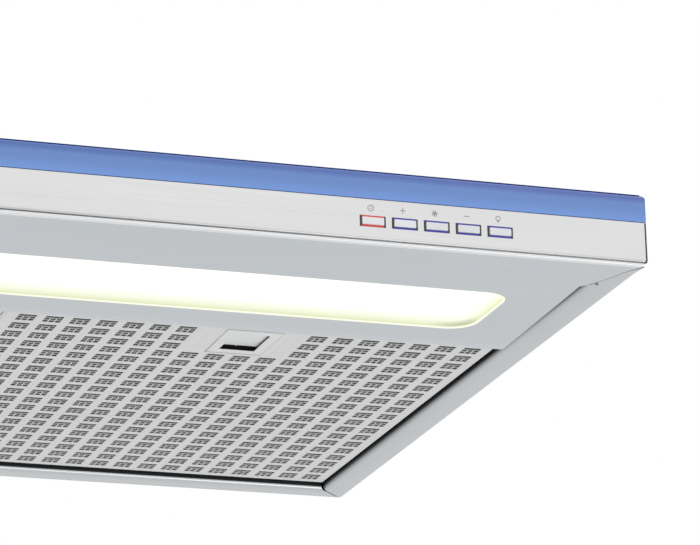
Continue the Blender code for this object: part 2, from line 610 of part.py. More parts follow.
def blower():
    """Scroll housing and base, inlet ring, impeller on its shaft and nut, and the flat motor."""
    outline = scroll_outline(0.0)
    housing = prism("blower_housing", "Z", outline, BLOWER_LOW, BLOWER_HIGH, "galvanised")
    hollow = scroll_outline(BLOWER_SHEET)
    cut(housing, prism("scroll_hollow", "Z", hollow, BLOWER_LOW - 5, BLOWER_HIGH - BLOWER_SHEET, None))
    duct_hole = circle((0.0, DUCT_DEPTH), DUCT_RADIUS - 1.6, 32)
    cut(housing, prism("housing_hole", "Z", duct_hole, BLOWER_HIGH - 4, BLOWER_HIGH + 3, None))

    base = prism("blower_base", "Z", outline, BLOWER_LOW - GAP - 1.2, BLOWER_LOW - GAP, "galvanised")
    inlet = circle((SCROLL_X, SCROLL_DEPTH), INLET_RADIUS, 32)
    cut(base, prism("inlet_hole", "Z", inlet, BLOWER_LOW - 5, BLOWER_LOW + 5, None))

    middle = (SCROLL_X, SCROLL_DEPTH, 0.0)
    low = BLOWER_LOW - GAP - 1.2 - GAP
    ring = [
        (INLET_RADIUS + 5, low - 1.2), (INLET_RADIUS + 5, low), (INLET_RADIUS - 0.4, low),
        (INLET_RADIUS - 2.0, low + 2.0), (INLET_RADIUS - 2.6, 23.6), (INLET_RADIUS - 3.8, 23.6),
        (INLET_RADIUS - 3.2, low + 1.2), (INLET_RADIUS - 1.0, low - 1.2),
    ]
    turned("inlet_ring", ring, middle, "galvanised", steps=32)

    hub = [
        (SHAFT_RADIUS + GAP, 52.0), (10.0, 52.0), (12.0, 62.0), (IMPELLER_RADIUS, IMPELLER_HIGH - 2),
        (IMPELLER_RADIUS, IMPELLER_HIGH), (SHAFT_RADIUS + GAP, IMPELLER_HIGH),
    ]
    wheel = turned("impeller", hub, middle, "black_plastic", steps=40)
    band = [
        (IMPELLER_RADIUS - 13, IMPELLER_LOW), (IMPELLER_RADIUS, IMPELLER_LOW),
        (IMPELLER_RADIUS, IMPELLER_LOW + 2), (IMPELLER_RADIUS - 13, IMPELLER_LOW + 2),
    ]
    shape = bmesh.new()
    for number in range(BLADES):
        turn = math.tau * number / BLADES
        curve = []
        for step, radius in enumerate((IMPELLER_RADIUS - 1.5, IMPELLER_RADIUS - 6.5, IMPELLER_RADIUS - 12)):
            lag = (0.0, 0.055, 0.075)[step]
            curve.append((radius, turn + lag))
        back = [(radius, angle + 0.9 / radius) for radius, angle in reversed(curve)]
        loop = [
            (SCROLL_X + radius * math.cos(angle), SCROLL_DEPTH + radius * math.sin(angle))
            for radius, angle in curve + back
        ]
        rings = [[shape.verts.new(point(x, depth, height)) for x, depth in loop]
                 for height in (IMPELLER_LOW + 1, IMPELLER_HIGH - 0.8)]
        shape.faces.new(rings[0])
        shape.faces.new(rings[1])
        for index in range(len(loop)):
            after = (index + 1) % len(loop)
            shape.faces.new([rings[0][index], rings[0][after], rings[1][after], rings[1][index]])
    weld(wheel, make_object("impeller_blades", closed_shape(shape), None))
    weld(wheel, turned("impeller_band", band, middle, None, steps=40))

    shaft = [(0.0, 44.0), (SHAFT_RADIUS, 44.0), (SHAFT_RADIUS, 78.0), (0.0, 78.0)]
    turned("motor_shaft", shaft, middle, "spring_steel", steps=16)
    nut = prism("impeller_nut", "Z", circle((SCROLL_X, SCROLL_DEPTH), 8.0, 6), 46.0, 51.6, "spring_steel")
    bore = circle((SCROLL_X, SCROLL_DEPTH), SHAFT_RADIUS + GAP, 16)
    cut(nut, prism("nut_bore", "Z", bore, 40.0, 56.0, None))
    top = BLOWER_HIGH - BLOWER_SHEET - GAP
    body = [
        (SHAFT_RADIUS + GAP, 69.0), (14.0, 69.0), (16.0, 72.0), (MOTOR_RADIUS - 3, 72.0),
        (MOTOR_RADIUS, 75.0),
        (MOTOR_RADIUS, top - 6), (MOTOR_RADIUS + 8, top - 6), (MOTOR_RADIUS + 8, top), (0.0, top),
        (0.0, 79.0),
        (SHAFT_RADIUS + GAP, 79.0),
    ]
    motor = turned("motor", body, middle, "galvanised", steps=32)
    for number in range(3):
        angle = math.radians(90 + 120 * number)
        spot = (SCROLL_X + 46 * math.cos(angle), SCROLL_DEPTH + 46 * math.sin(angle))
        cut(motor, prism(f"motor_hole_{number}", "Z", circle(spot, 2.4, 10), 80.0, 100.0, None))
        screw = [
            (0, top - 8.4), (4.0, top - 8.4), (4.0, top - 6.3), (2.0, top - 6.3), (2.0, top - 0.3),
            (0, top - 0.3),
        ]
        turned(f"motor_screw_{number + 1}", screw, (*spot, 0.0), "spring_steel", steps=10)


def duct_collar():
    """Duct collar clamped under the roof, with two back-draught flaps on one pin."""
    middle = (0.0, DUCT_DEPTH, 0.0)
    low, top = BLOWER_HIGH + GAP, HEIGHT + DUCT_RISE
    wall = DUCT_RADIUS - 1.4
    profile = [
        (wall, low), (DUCT_RADIUS + 7, low), (DUCT_RADIUS + 7, low + 1.2), (DUCT_RADIUS, low + 1.2),
        (DUCT_RADIUS, top - 1), (DUCT_RADIUS - 0.5, top), (wall, top), (wall, FLAP_HEIGHT - 1.9),
        (wall - 2.6, FLAP_HEIGHT - 1.9), (wall - 2.6, FLAP_HEIGHT - 3.2), (wall, FLAP_HEIGHT - 4.4),
    ]
    turned("duct_collar", profile, middle, "grey_plastic", steps=40)
    pin = [(0, -wall + GAP), (PIN_RADIUS, -wall + GAP), (PIN_RADIUS, wall - GAP), (0, wall - GAP)]
    turned("damper_pin", pin, (0.0, DUCT_DEPTH, FLAP_HEIGHT), "spring_steel", steps=12, axis="X")
    knuckles = {1: [(-44, -26), (26, 44)], -1: [(-20, 20)]}
    for side, name in ((1, "damper_flap_rear"), (-1, "damper_flap_front")):
        start = math.asin(3.4 / FLAP_RADIUS)
        arc = []
        for step in range(17):
            angle = start + (math.pi - 2 * start) * step / 16
            arc.append((FLAP_RADIUS * math.cos(angle), DUCT_DEPTH + side * FLAP_RADIUS * math.sin(angle)))
        flap = prism(name, "Z", arc, FLAP_HEIGHT - 0.5, FLAP_HEIGHT + 0.5, "grey_plastic")
        for number, (low_x, high_x) in enumerate(knuckles[side]):
            arm = sorted((DUCT_DEPTH, DUCT_DEPTH + side * 4.4))
            weld(flap, block(
                f"{name}_arm_{number}", (low_x, high_x), arm, (FLAP_HEIGHT - 0.4, FLAP_HEIGHT + 0.4), None))
            sleeve = circle((DUCT_DEPTH, FLAP_HEIGHT), 3.0, 12)
            weld(flap, prism(f"{name}_sleeve_{number}", "X", sleeve, low_x, high_x, None))
        bore = circle((DUCT_DEPTH, FLAP_HEIGHT), PIN_RADIUS + 0.35, 12)
        cut(flap, prism(f"{name}_bore", "X", bore, -50, 50, None))


def power():
    """Mains side: box with its board, terminal block and capacitor, and the cord gland."""
    low_x, high_x, front, back, low, high = 150.0, 262.0, 236.0, 396.0, 56.0, 98.4
    ring = [(low_x, front), (high_x, front), (high_x, back), (low_x, back)]
    floor = [(x, depth, low) for x, depth in ring]
    walls = []
    for (xa, da), (xb, db) in zip(ring, ring[1:] + ring[:1]):
        walls.append([(xa, da, low), (xb, db, low), (xb, db, high), (xa, da, high)])
    folded("power_box", [floor, *walls], (0, 0, -1), 1.2, "galvanised", bend=0)
    board = block("power_board", (158, 254), (246, 330), (63.0, 64.6), "circuit_board")
    parts = [(176, 262, 10, 20), (212, 268, 14, 16), (236, 304, 9, 24)]
    for number, (x, depth, half, rise) in enumerate(parts):
        weld(board, block(
            f"power_part_{number}", (x - half, x + half), (depth - half, depth + half),
            (64.0, 64.6 + rise), None))
    block("terminal_block", (170, 222), (342, 358), (57.6, 74.0), "cap_plastic")
    can = [(0, -24), (14, -24), (15, -23), (15, 24), (0, 24)]
    turned("capacitor", can, (206.0, 377.0, 73.6), "aluminium",
           steps=20, axis="X")
    profile = [
        (4.2, 92.0), (8.0, 92.0), (8.0, 94.0), (GLAND_RADIUS, 94.0), (GLAND_RADIUS, HEIGHT + 0.4),
        (GLAND_RADIUS + 3, HEIGHT + 0.4), (GLAND_RADIUS + 3, HEIGHT + 2.0), (7.0, HEIGHT + 5.0),
        (4.2, HEIGHT + 5.0),
    ]
    turned("cord_gland", profile, (*GLAND, 0.0), "black_plastic", steps=20)


def control_lead():
    """Flat lead from the switch housing over the reflector to the power box."""
    route = [
        (205, 17.5, 12), (205, 20, 12.4), (205, 25, 16), (205, 31, 25), (205, 39, 34), (205, 50, 40),
        (205, 66, 43), (205, 84, 44), (205, 104, 45), (205, 124, 46.5), (205, 144, 49), (205, 164, 53),
        (205, 184, 58), (205, 204, 64), (205, 220, 68), (205, 230, 70), (205, 235.6, 70.4),
    ]
    curve = bpy.data.curves.new("control_lead", "CURVE")
    curve.dimensions = "3D"
    curve.bevel_depth = 2.0 * MM
    curve.bevel_resolution = 2
    curve.use_fill_caps = True
    spline = curve.splines.new("POLY")
    spline.points.add(len(route) - 1)
    for knot, spot in zip(spline.points, route):
        knot.co = (*point(*spot), 1.0)
    curve.materials.append(own_material("control_lead", "grey_plastic"))
    bpy.context.scene.collection.objects.link(bpy.data.objects.new("control_lead", curve))


def rivets():
    """Blind rivets that close the mitred front corners."""
    for side, name in ((-1, "corner_rivet_left"), (1, "corner_rivet_right")):
        head = [(0, -0.7), (0.7, -0.6), (1.1, -GAP), (0, -GAP)]
        turned(name, head, (side * RIVET[0], RIVET[1], 0.0), "galvanised", steps=12)


def main():
    clear_scene()
    for side in (-1, 1):
        side_panel(side)
    rear_panel()
    top_panel()
    front_panel()
    front_trim()
    rivets()
    light()
    controls()
    for side in (-1, 1):
        grease_filter(side)
    divider()
    blower()
    duct_collar()
    power()
    control_lead()


main()
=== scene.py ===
"""Looks of a slim under cabinet range hood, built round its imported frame.

Each sub-assembly is a class that reads its place from the frame, models its pieces with Blender's
edit mode tools and dresses them in procedural finishes. Lengths are metres, in the part's frame:
+X to the right along the front, +Y from the front face to the wall, +Z up.
"""

import json
import logging
import math
from dataclasses import dataclass, field
from enum import Enum
from typing import Callable, Iterable, Sequence, Union

import bmesh
import bpy
from mathutils import Matrix, Vector

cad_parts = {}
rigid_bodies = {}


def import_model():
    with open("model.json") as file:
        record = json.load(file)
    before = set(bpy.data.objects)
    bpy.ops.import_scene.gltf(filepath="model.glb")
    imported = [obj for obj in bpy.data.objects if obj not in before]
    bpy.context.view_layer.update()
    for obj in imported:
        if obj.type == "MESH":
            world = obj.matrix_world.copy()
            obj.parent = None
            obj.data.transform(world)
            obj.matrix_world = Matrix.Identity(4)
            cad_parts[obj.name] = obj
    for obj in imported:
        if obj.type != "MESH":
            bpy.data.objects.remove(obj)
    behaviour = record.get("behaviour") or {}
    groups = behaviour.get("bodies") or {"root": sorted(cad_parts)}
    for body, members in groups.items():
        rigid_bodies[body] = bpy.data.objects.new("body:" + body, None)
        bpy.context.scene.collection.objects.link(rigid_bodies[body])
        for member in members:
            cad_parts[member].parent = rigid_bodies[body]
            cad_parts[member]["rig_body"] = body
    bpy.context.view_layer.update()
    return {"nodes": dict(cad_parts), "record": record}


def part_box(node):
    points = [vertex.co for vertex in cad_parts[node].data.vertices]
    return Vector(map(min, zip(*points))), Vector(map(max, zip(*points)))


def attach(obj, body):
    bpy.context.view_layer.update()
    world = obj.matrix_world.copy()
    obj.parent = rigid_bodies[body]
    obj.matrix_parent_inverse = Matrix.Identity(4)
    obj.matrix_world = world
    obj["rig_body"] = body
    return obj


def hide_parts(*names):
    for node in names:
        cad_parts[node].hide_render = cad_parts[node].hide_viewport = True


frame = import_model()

LOG = logging.getLogger("range_hood")
MM = 0.001
TINY = 2e-5
CASING = "casing"

Number = Union[int, float]
Colour = tuple[float, float, float]
Spot = tuple[float, float, float]


class Hand(Enum):
    """The two sides of the hood, as the sign of X."""

    LEFT = -1
    RIGHT = 1

    @property
    def word(self) -> str:
        """The side's name as the frame's nodes use it."""
        return self.name.lower()


class Grain(Enum):
    """Stretch of a brushed pattern along each axis: few waves along the brushing, many across."""

    ALONG_X = (7.0, 1500.0, 1500.0)
    ALONG_Y = (1500.0, 7.0, 1500.0)
    NONE = (420.0, 420.0, 420.0)


# ------------------------------------------------------------------ shader graphs


class Value:
    """One output socket of a shader graph, on which Python's operators add Math nodes."""

    def __init__(self, graph: "Graph", socket: bpy.types.NodeSocket) -> None:
        """Args:
            graph: the graph that the socket belongs to.
            socket: the output socket that holds the value.
        """
        self.graph = graph
        self.socket = socket

    def _math(self, operation: str, first: "Term", second: "Term" = None) -> "Value":
        """Add a Math node.

        Args:
            operation: the node's operation.
            first: its first term.
            second: its second term, where the operation has two.

        Returns:
            The node's result.
        """
        terms = {0: first} if second is None else {0: first, 1: second}
        return self.graph.add("ShaderNodeMath", {"operation": operation}, terms)

    def __add__(self, other: "Term") -> "Value":
        """This value plus another."""
        return self._math("ADD", self, other)

    def __radd__(self, other: "Term") -> "Value":
        """Another value plus this one."""
        return self._math("ADD", other, self)

    def __sub__(self, other: "Term") -> "Value":
        """This value less another."""
        return self._math("SUBTRACT", self, other)

    def __rsub__(self, other: "Term") -> "Value":
        """Another value less this one."""
        return self._math("SUBTRACT", other, self)

    def __mul__(self, other: "Term") -> "Value":
        """This value times another."""
        return self._math("MULTIPLY", self, other)

    def __rmul__(self, other: "Term") -> "Value":
        """Another value times this one."""
        return self._math("MULTIPLY", other, self)

    def __truediv__(self, other: "Term") -> "Value":
        """This value over another."""
        return self._math("DIVIDE", self, other)

    def __abs__(self) -> "Value":
        """This value without its sign."""
        return self._math("ABSOLUTE", self)

    def __gt__(self, other: "Term") -> "Value":
        """1 where this value is the larger, else 0."""
        return self._math("GREATER_THAN", self, other)

    def most(self, other: "Term") -> "Value":
        """The larger of this value and another."""
        return self._math("MAXIMUM", self, other)

    def spread(self, low: float, high: float) -> "Value":
        """Stretch this value smoothly.

        Args:
            low: the value that becomes 0.
            high: the value that becomes 1.

        Returns:
            A smooth step from 0 to 1.
        """
        settings = {"interpolation_type": "SMOOTHSTEP"}
        return self.graph.add("ShaderNodeMapRange", settings, {0: self, 1: low, 2: high, 3: 0.0, 4: 1.0})


Term = Union[Value, Number, Sequence[float], None]


class Graph:
    """The node tree of one material, around its Principled BSDF."""

    def __init__(self, name: str) -> None:
        """Args:
            name: the material's name.
        """
        self.material = bpy.data.materials.new(name)
        self.material.use_nodes = True
        self.tree = self.material.node_tree
        self.shader = self.tree.nodes["Principled BSDF"]

    def add(self, kind: str, settings: dict = None, values: dict = None,
            output: Union[int, str] = 0) -> Value:
        """Add a node of any kind.

        Args:
            kind: the node's type.
            settings: its own settings; "stops" holds a ramp's places and colours.
            values: numbers, vectors or links for its sockets, by number or name.
            output: which of its outputs to return.

        Returns:
            The chosen output.
        """
        node = self.tree.nodes.new(kind)
        for name, setting in (settings or {}).items():
            if name == "stops":
                self._set_stops(node.color_ramp, setting)
            else:
                setattr(node, name, setting)
        for key, value in (values or {}).items():
            self._feed(node.inputs[key], value)
        return Value(self, node.outputs[output])

    @staticmethod
    def _set_stops(ramp: bpy.types.ColorRamp, stops: Sequence[tuple[float, Colour]]) -> None:
        """Give a colour ramp its stops.

        Args:
            ramp: the ramp to fill.
            stops: places from 0 to 1, each with its colour.
        """
        while len(ramp.elements) < len(stops):
            ramp.elements.new(1.0)
        for element, (place, colour) in zip(ramp.elements, stops):
            element.position = place
            element.color = (*colour, 1.0)

    def _feed(self, socket: bpy.types.NodeSocket, value: Term) -> None:
        """Link or set one input socket.

        Args:
            socket: the input.
            value: a value to link, or a number, vector or colour to set.
        """
        if isinstance(value, Value):
            self.tree.links.new(value.socket, socket)
        elif isinstance(value, (int, float)):
            socket.default_value = value
        elif socket.type == "RGBA" and len(value) == 3:
            socket.default_value = (*value, 1.0)
        else:
            socket.default_value = value

    def place(self, stretch: Spot = (1.0, 1.0, 1.0), centre: Spot = (0.0, 0.0, 0.0)) -> Value:
        """Object coordinates about a centre, stretched along each axis.

        Args:
            stretch: factor along each axis.
            centre: the point that becomes the origin.

        Returns:
            The mapped vector.
        """
        spot = self.add("ShaderNodeTexCoord", output="Object")
        shifted = self.add("ShaderNodeVectorMath", {"operation": "SUBTRACT"}, {0: spot, 1: centre})
        return self.add("ShaderNodeMapping", values={0: shifted, 3: stretch})

    def axes(self, centre: Spot = (0.0, 0.0, 0.0)) -> tuple[Value, Value, Value]:
        """X, Y and Z of the surface about a centre."""
        split = self.add("ShaderNodeSeparateXYZ", values={0: self.place(centre=centre)})
        outputs = split.socket.node.outputs
        return Value(self, outputs[0]), Value(self, outputs[1]), Value(self, outputs[2])

    def noise(self, stretch: Spot, detail: float = 2.0, rough: float = 0.5) -> Value:
        """Soft noise from 0 to 1.

        Args:
            stretch: waves per metre along each axis.
            detail: octaves of finer noise.
            rough: strength of each finer octave.

        Returns:
            The noise's factor.
        """
        values = {"Vector": self.place(stretch), "Scale": 1.0, "Detail": detail, "Roughness": rough}
        return self.add("ShaderNodeTexNoise", values=values)

    def mix(self, mask: Term, first: Term, second: Term) -> Value:
        """Colour that goes from first to second as mask goes from 0 to 1."""
        settings = {"data_type": "RGBA", "clamp_factor": True}
        return self.add("ShaderNodeMix", settings, {0: mask, 6: first, 7: second}, output=2)

    def ramp(self, value: Value, stops: Sequence[tuple[float, Colour]]) -> Value:
        """Colour read from a ramp."""
        return self.add("ShaderNodeValToRGB", {"stops": stops}, {0: value})

    def bump(self, height: Value, strength: float, depth: float) -> Value:
        """Normal of a surface with a fine relief.

        Args:
            height: the relief, from 0 to 1.
            strength: how much of it shows.
            depth: its depth in metres.

        Returns:
            The normal.
        """
        return self.add("ShaderNodeBump", values={"Strength": strength, "Distance": depth, "Height": height})

    def surface(self, **sockets: Term) -> bpy.types.Material:
        """Set the shader's sockets, written with underscores for spaces.

        Returns:
            The finished material.
        """
        for name, value in sockets.items():
            self._feed(self.shader.inputs[name.replace("_", " ")], value)
        return self.material


# ------------------------------------------------------------------ finishes


def shade(colour: Colour, factor: float) -> Colour:
    """A colour made lighter or darker."""
    return tuple(min(1.0, part * factor) for part in colour)


@dataclass(frozen=True)
class BrushedSteel:
    """Stainless sheet with a fine brushed grain and faint handling marks, and where asked painted shade on
    its inner lips and a painted highlight on its front fold.

    Attributes:
        name: the material's name.
        colour: the metal's tint.
        roughness: its mean roughness.
        grain: which way it is brushed.
        depth: relief of the brushing.
        metallic: how much of it reflects as metal.
        film: heights above the underside over which painted shade darkens the inner lips, if it is painted.
        polish: depths behind the front over which a painted white highlight on the front fold fades out, if
            it has one.
        open_x: reach from the middle past which nothing darkens.
        open_depth: depth behind the front past which nothing darkens.
    """

    name: str
    colour: Colour = (0.78, 0.785, 0.79)
    roughness: float = 0.3
    grain: Grain = Grain.ALONG_X
    depth: float = 0.02 * MM
    metallic: float = 1.0
    film: tuple[float, float] = (0.0, 0.0)
    polish: tuple[float, float] = (0.0, 0.0)
    open_x: float = 293 * MM
    open_depth: float = 470 * MM

    def make(self) -> bpy.types.Material:
        """The finished material."""
        graph = Graph(self.name)
        lines = graph.noise(self.grain.value, 3.0, 0.62)
        broad = graph.noise((4.0, 26.0, 26.0), 3.0)
        smudge = graph.noise((17.0, 19.0, 21.0), 4.0, 0.6).spread(0.52, 0.78)
        tone = graph.mix(lines.spread(0.25, 0.75), shade(self.colour, 0.94), shade(self.colour, 1.03))
        tone = graph.mix(broad.spread(0.3, 0.7) * 0.35, tone, shade(self.colour, 0.93))
        rough = self.roughness - 0.07 + lines * 0.14 + smudge * 0.05
        if self.film[1] > 0:
            x, y, z = graph.axes((0.0, FRONT, UNDERSIDE))
            # Painted shade: between these heights the tone goes near black inside the open bays, standing in
            # for the shade on upturned lips and walls.
            inside = (1.0 - (abs(x) > self.open_x).most(y > self.open_depth)) * z.spread(*self.film)
            tone = graph.mix(inside, tone, (0.052, 0.054, 0.056))
            rough = rough + inside * 0.3
        if self.polish[1] > 0:
            # Painted highlight: the front fold goes white up to these depths, standing in for the light that
            # it catches.
            _, y, _ = graph.axes((0.0, FRONT, UNDERSIDE))
            tone = graph.mix(1.0 - y.spread(*self.polish), tone, (1.0, 1.0, 1.0))
        normal = graph.bump(lines, 0.4, self.depth)
        return graph.surface(Base_Color=tone, Roughness=rough, Metallic=self.metallic, Normal=normal)


@dataclass(frozen=True)
class Galvanised:
    """Zinc coated sheet with its crystal spangle."""

    name: str = "galvanised_sheet"
    colour: Colour = (0.56, 0.58, 0.60)

    def make(self) -> bpy.types.Material:
        """The finished material."""
        graph = Graph(self.name)
        spangle = graph.place((90.0, 90.0, 90.0))
        cells = graph.add("ShaderNodeTexVoronoi", values={"Vector": spangle, "Scale": 1.0}, output="Color")
        split = graph.add("ShaderNodeSeparateXYZ", values={0: cells})
        cloud = graph.noise((60.0, 60.0, 60.0), 4.0, 0.6)
        tone = graph.mix(split, shade(self.colour, 0.78), shade(self.colour, 1.22))
        rough = 0.34 + split * 0.2 + cloud * 0.08
        normal = graph.bump(cloud, 0.25, 0.05 * MM)
        return graph.surface(Base_Color=tone, Roughness=rough, Metallic=1.0, Normal=normal)


@dataclass(frozen=True)
class TintedAcrylic:
    """Polished blue acrylic, with painted shade along its rounded top edge and a painted lighter band towards
    its lower edge.

    Attributes:
        name: the material's name.
        low: height of the strip's lower edge.
        high: height of its upper edge.
        right: its right end.
        body: colour of its middle.
        deep: painted shade of its top edge.
        violet: painted shade of its top edge towards the right end.
    """

    name: str
    low: float
    high: float
    right: float
    body: Colour = (0.115, 0.235, 0.56)
    deep: Colour = (0.05, 0.135, 0.44)
    violet: Colour = (0.065, 0.12, 0.44)

    def make(self) -> bpy.types.Material:
        """The finished material."""
        graph = Graph(self.name)
        x, _, z = graph.axes()
        rise = (z - self.low) / (self.high - self.low)
        cloud = graph.noise((3.0, 3.0, 20.0), 2.0)
        # Painted shade along the rounded top edge, bluer on the left and more violet towards the right end.
        top = graph.mix(x.spread(self.right - 0.28, self.right - 0.04), self.deep, self.violet)
        tone = graph.mix(cloud.spread(0.3, 0.7) * 0.35, self.body, shade(self.body, 1.18))
        # Painted light: the lower half is lightened, and the top band is then darkened by painted shade.
        tone = graph.mix(rise.spread(0.0, 0.5), shade(self.body, 1.3), tone)
        tone = graph.mix(rise.spread(0.6, 0.88), tone, top)
        haze = graph.noise((70.0, 70.0, 70.0), 3.0)
        rough = 0.16 + haze * 0.05
        return graph.surface(Base_Color=tone, Roughness=rough, Coat_Weight=0.6 + haze * 0.2,
                             Coat_Roughness=0.05, IOR=1.49)


@dataclass(frozen=True)
class GlowingDiffuser:
    """Opal acrylic lit from behind: white over the lamp, yellow green down its walls, cream on its rim.

    Attributes:
        name: the material's name.
        centre: middle of the opening, at the height of the underside.
        half: half of the opening's width and depth.
        rise: height of the flat window above the rim.
        stops: colours from the rim up to the window.
        shadow: colour of the rear corners.
    """

    name: str
    centre: Spot
    half: tuple[float, float]
    rise: float
    stops: tuple[tuple[float, Colour], ...] = (
        (0.0, (0.90, 0.88, 0.72)), (0.05, (0.96, 0.96, 0.82)), (0.10, (0.60, 0.65, 0.36)),
        (0.26, (0.72, 0.76, 0.54)), (0.50, (0.84, 0.87, 0.72)), (0.75, (0.95, 0.96, 0.90)),
        (0.985, (1.0, 1.0, 0.99)))
    shadow: Colour = (0.24, 0.29, 0.12)

    def make(self) -> bpy.types.Material:
        """The finished material."""
        graph = Graph(self.name)
        x, y, z = graph.axes(self.centre)
        grain = graph.noise((900.0, 900.0, 900.0), 2.0)
        drift = graph.noise((9.0, 30.0, 30.0), 2.0)
        glow = graph.ramp(z / self.rise + (drift - 0.5) * 0.06, self.stops)
        ends = abs(x).spread(self.half[0] - 26 * MM, self.half[0] - 6 * MM)
        back = y.spread(self.half[1] - 22 * MM, self.half[1] - 5 * MM)
        wall = z.spread(0.8 * MM, 1.2 * MM) * (1.0 - z.spread(2.0 * MM, 4.2 * MM))
        glow = graph.mix(ends * back * wall * 0.6, glow, self.shadow)
        return graph.surface(Base_Color=(0.22, 0.23, 0.19), Roughness=0.3 + grain * 0.1, Emission_Color=glow,
                             Emission_Strength=0.92, Normal=graph.bump(grain, 0.1, 0.02 * MM))


@dataclass(frozen=True)
class Moulding:
    """Moulded plastic, rubber or enamel, with a fine skin texture.

    Attributes:
        name: the material's name.
        colour: its colour.
        roughness: its mean roughness.
        texture: waves of its skin per metre.
        depth: relief of its skin.
        coat: weight of a clear coat.
        bead: height above the underside up to which a painted white highlight shows, if it has one.
    """

    name: str
    colour: Colour
    roughness: float = 0.45
    texture: float = 900.0
    depth: float = 0.015 * MM
    coat: float = 0.0
    bead: float = 0.0

    def make(self) -> bpy.types.Material:
        """The finished material."""
        graph = Graph(self.name)
        skin = graph.noise((self.texture,) * 3, 3.0, 0.6)
        cloud = graph.noise((38.0, 38.0, 38.0), 3.0)
        tone = graph.mix(cloud.spread(0.25, 0.75), shade(self.colour, 0.93), shade(self.colour, 1.05))
        rough = self.roughness - 0.05 + skin * 0.1
        if self.bead > 0:
            # Painted highlight: a white band along the lowest edge, standing in for the light caught by the
            # fold below.
            _, _, z = graph.axes((0.0, FRONT, UNDERSIDE))
            tone = graph.mix(1.0 - z.spread(self.bead, self.bead + 0.1 * MM), tone, (0.95, 0.95, 0.95))
        return graph.surface(Base_Color=tone, Roughness=rough, Coat_Weight=self.coat,
                             Normal=graph.bump(skin, 0.3, self.depth))


@dataclass(frozen=True)
class LitFrame:
    """Clear frame round a button: lit lens above and below the cap, dark at both ends.

    Attributes:
        name: the material's name.
        colour: colour of the lens.
        centre: middle of the frame.
        glow: strength of its light.
    """

    name: str
    colour: Colour
    centre: Spot
    glow: float = 0.35

    def make(self) -> bpy.types.Material:
        """The finished material."""
        graph = Graph(self.name)
        x, _, z = graph.axes(self.centre)
        ends = abs(x).spread(5.75 * MM, 5.95 * MM)
        inner = 1.0 - abs(z).spread(1.9 * MM, 2.1 * MM)
        dark = ends.most(inner)
        grain = graph.noise((500.0, 500.0, 500.0), 2.0)
        lens = graph.mix(grain, shade(self.colour, 0.85), shade(self.colour, 1.1))
        tone = graph.mix(dark, lens, (0.055, 0.055, 0.05))
        glow = graph.mix(dark, self.colour, (0.0, 0.0, 0.0))
        return graph.surface(Base_Color=tone, Roughness=0.25 + grain * 0.1, Emission_Color=glow,
                             Emission_Strength=self.glow)


@dataclass(frozen=True)
class WovenMesh:
    """Layers of expanded aluminium behind the punched tray, with the openings between its wires painted near
    black as shade.
    """

    name: str = "expanded_aluminium"

    def make(self) -> bpy.types.Material:
        """The finished material."""
        graph = Graph(self.name)
        cells = graph.add("ShaderNodeTexVoronoi", {"feature": "DISTANCE_TO_EDGE"},
                          {"Vector": graph.place((480.0, 300.0, 480.0)), "Scale": 1.0})
        wire = 1.0 - cells.spread(0.04, 0.16)
        # Painted shade: the openings between the wires are near black, standing in for the shade deep in the
        # pack.
        tone = graph.mix(wire, (0.028, 0.028, 0.029), (0.155, 0.16, 0.165))
        return graph.surface(Base_Color=tone, Roughness=0.5 - wire * 0.15, Metallic=wire * 0.9,
                             Normal=graph.bump(wire, 0.6, 0.3 * MM))


# ------------------------------------------------------------------ modelling by hand


Test = Callable[[Vector], bool]


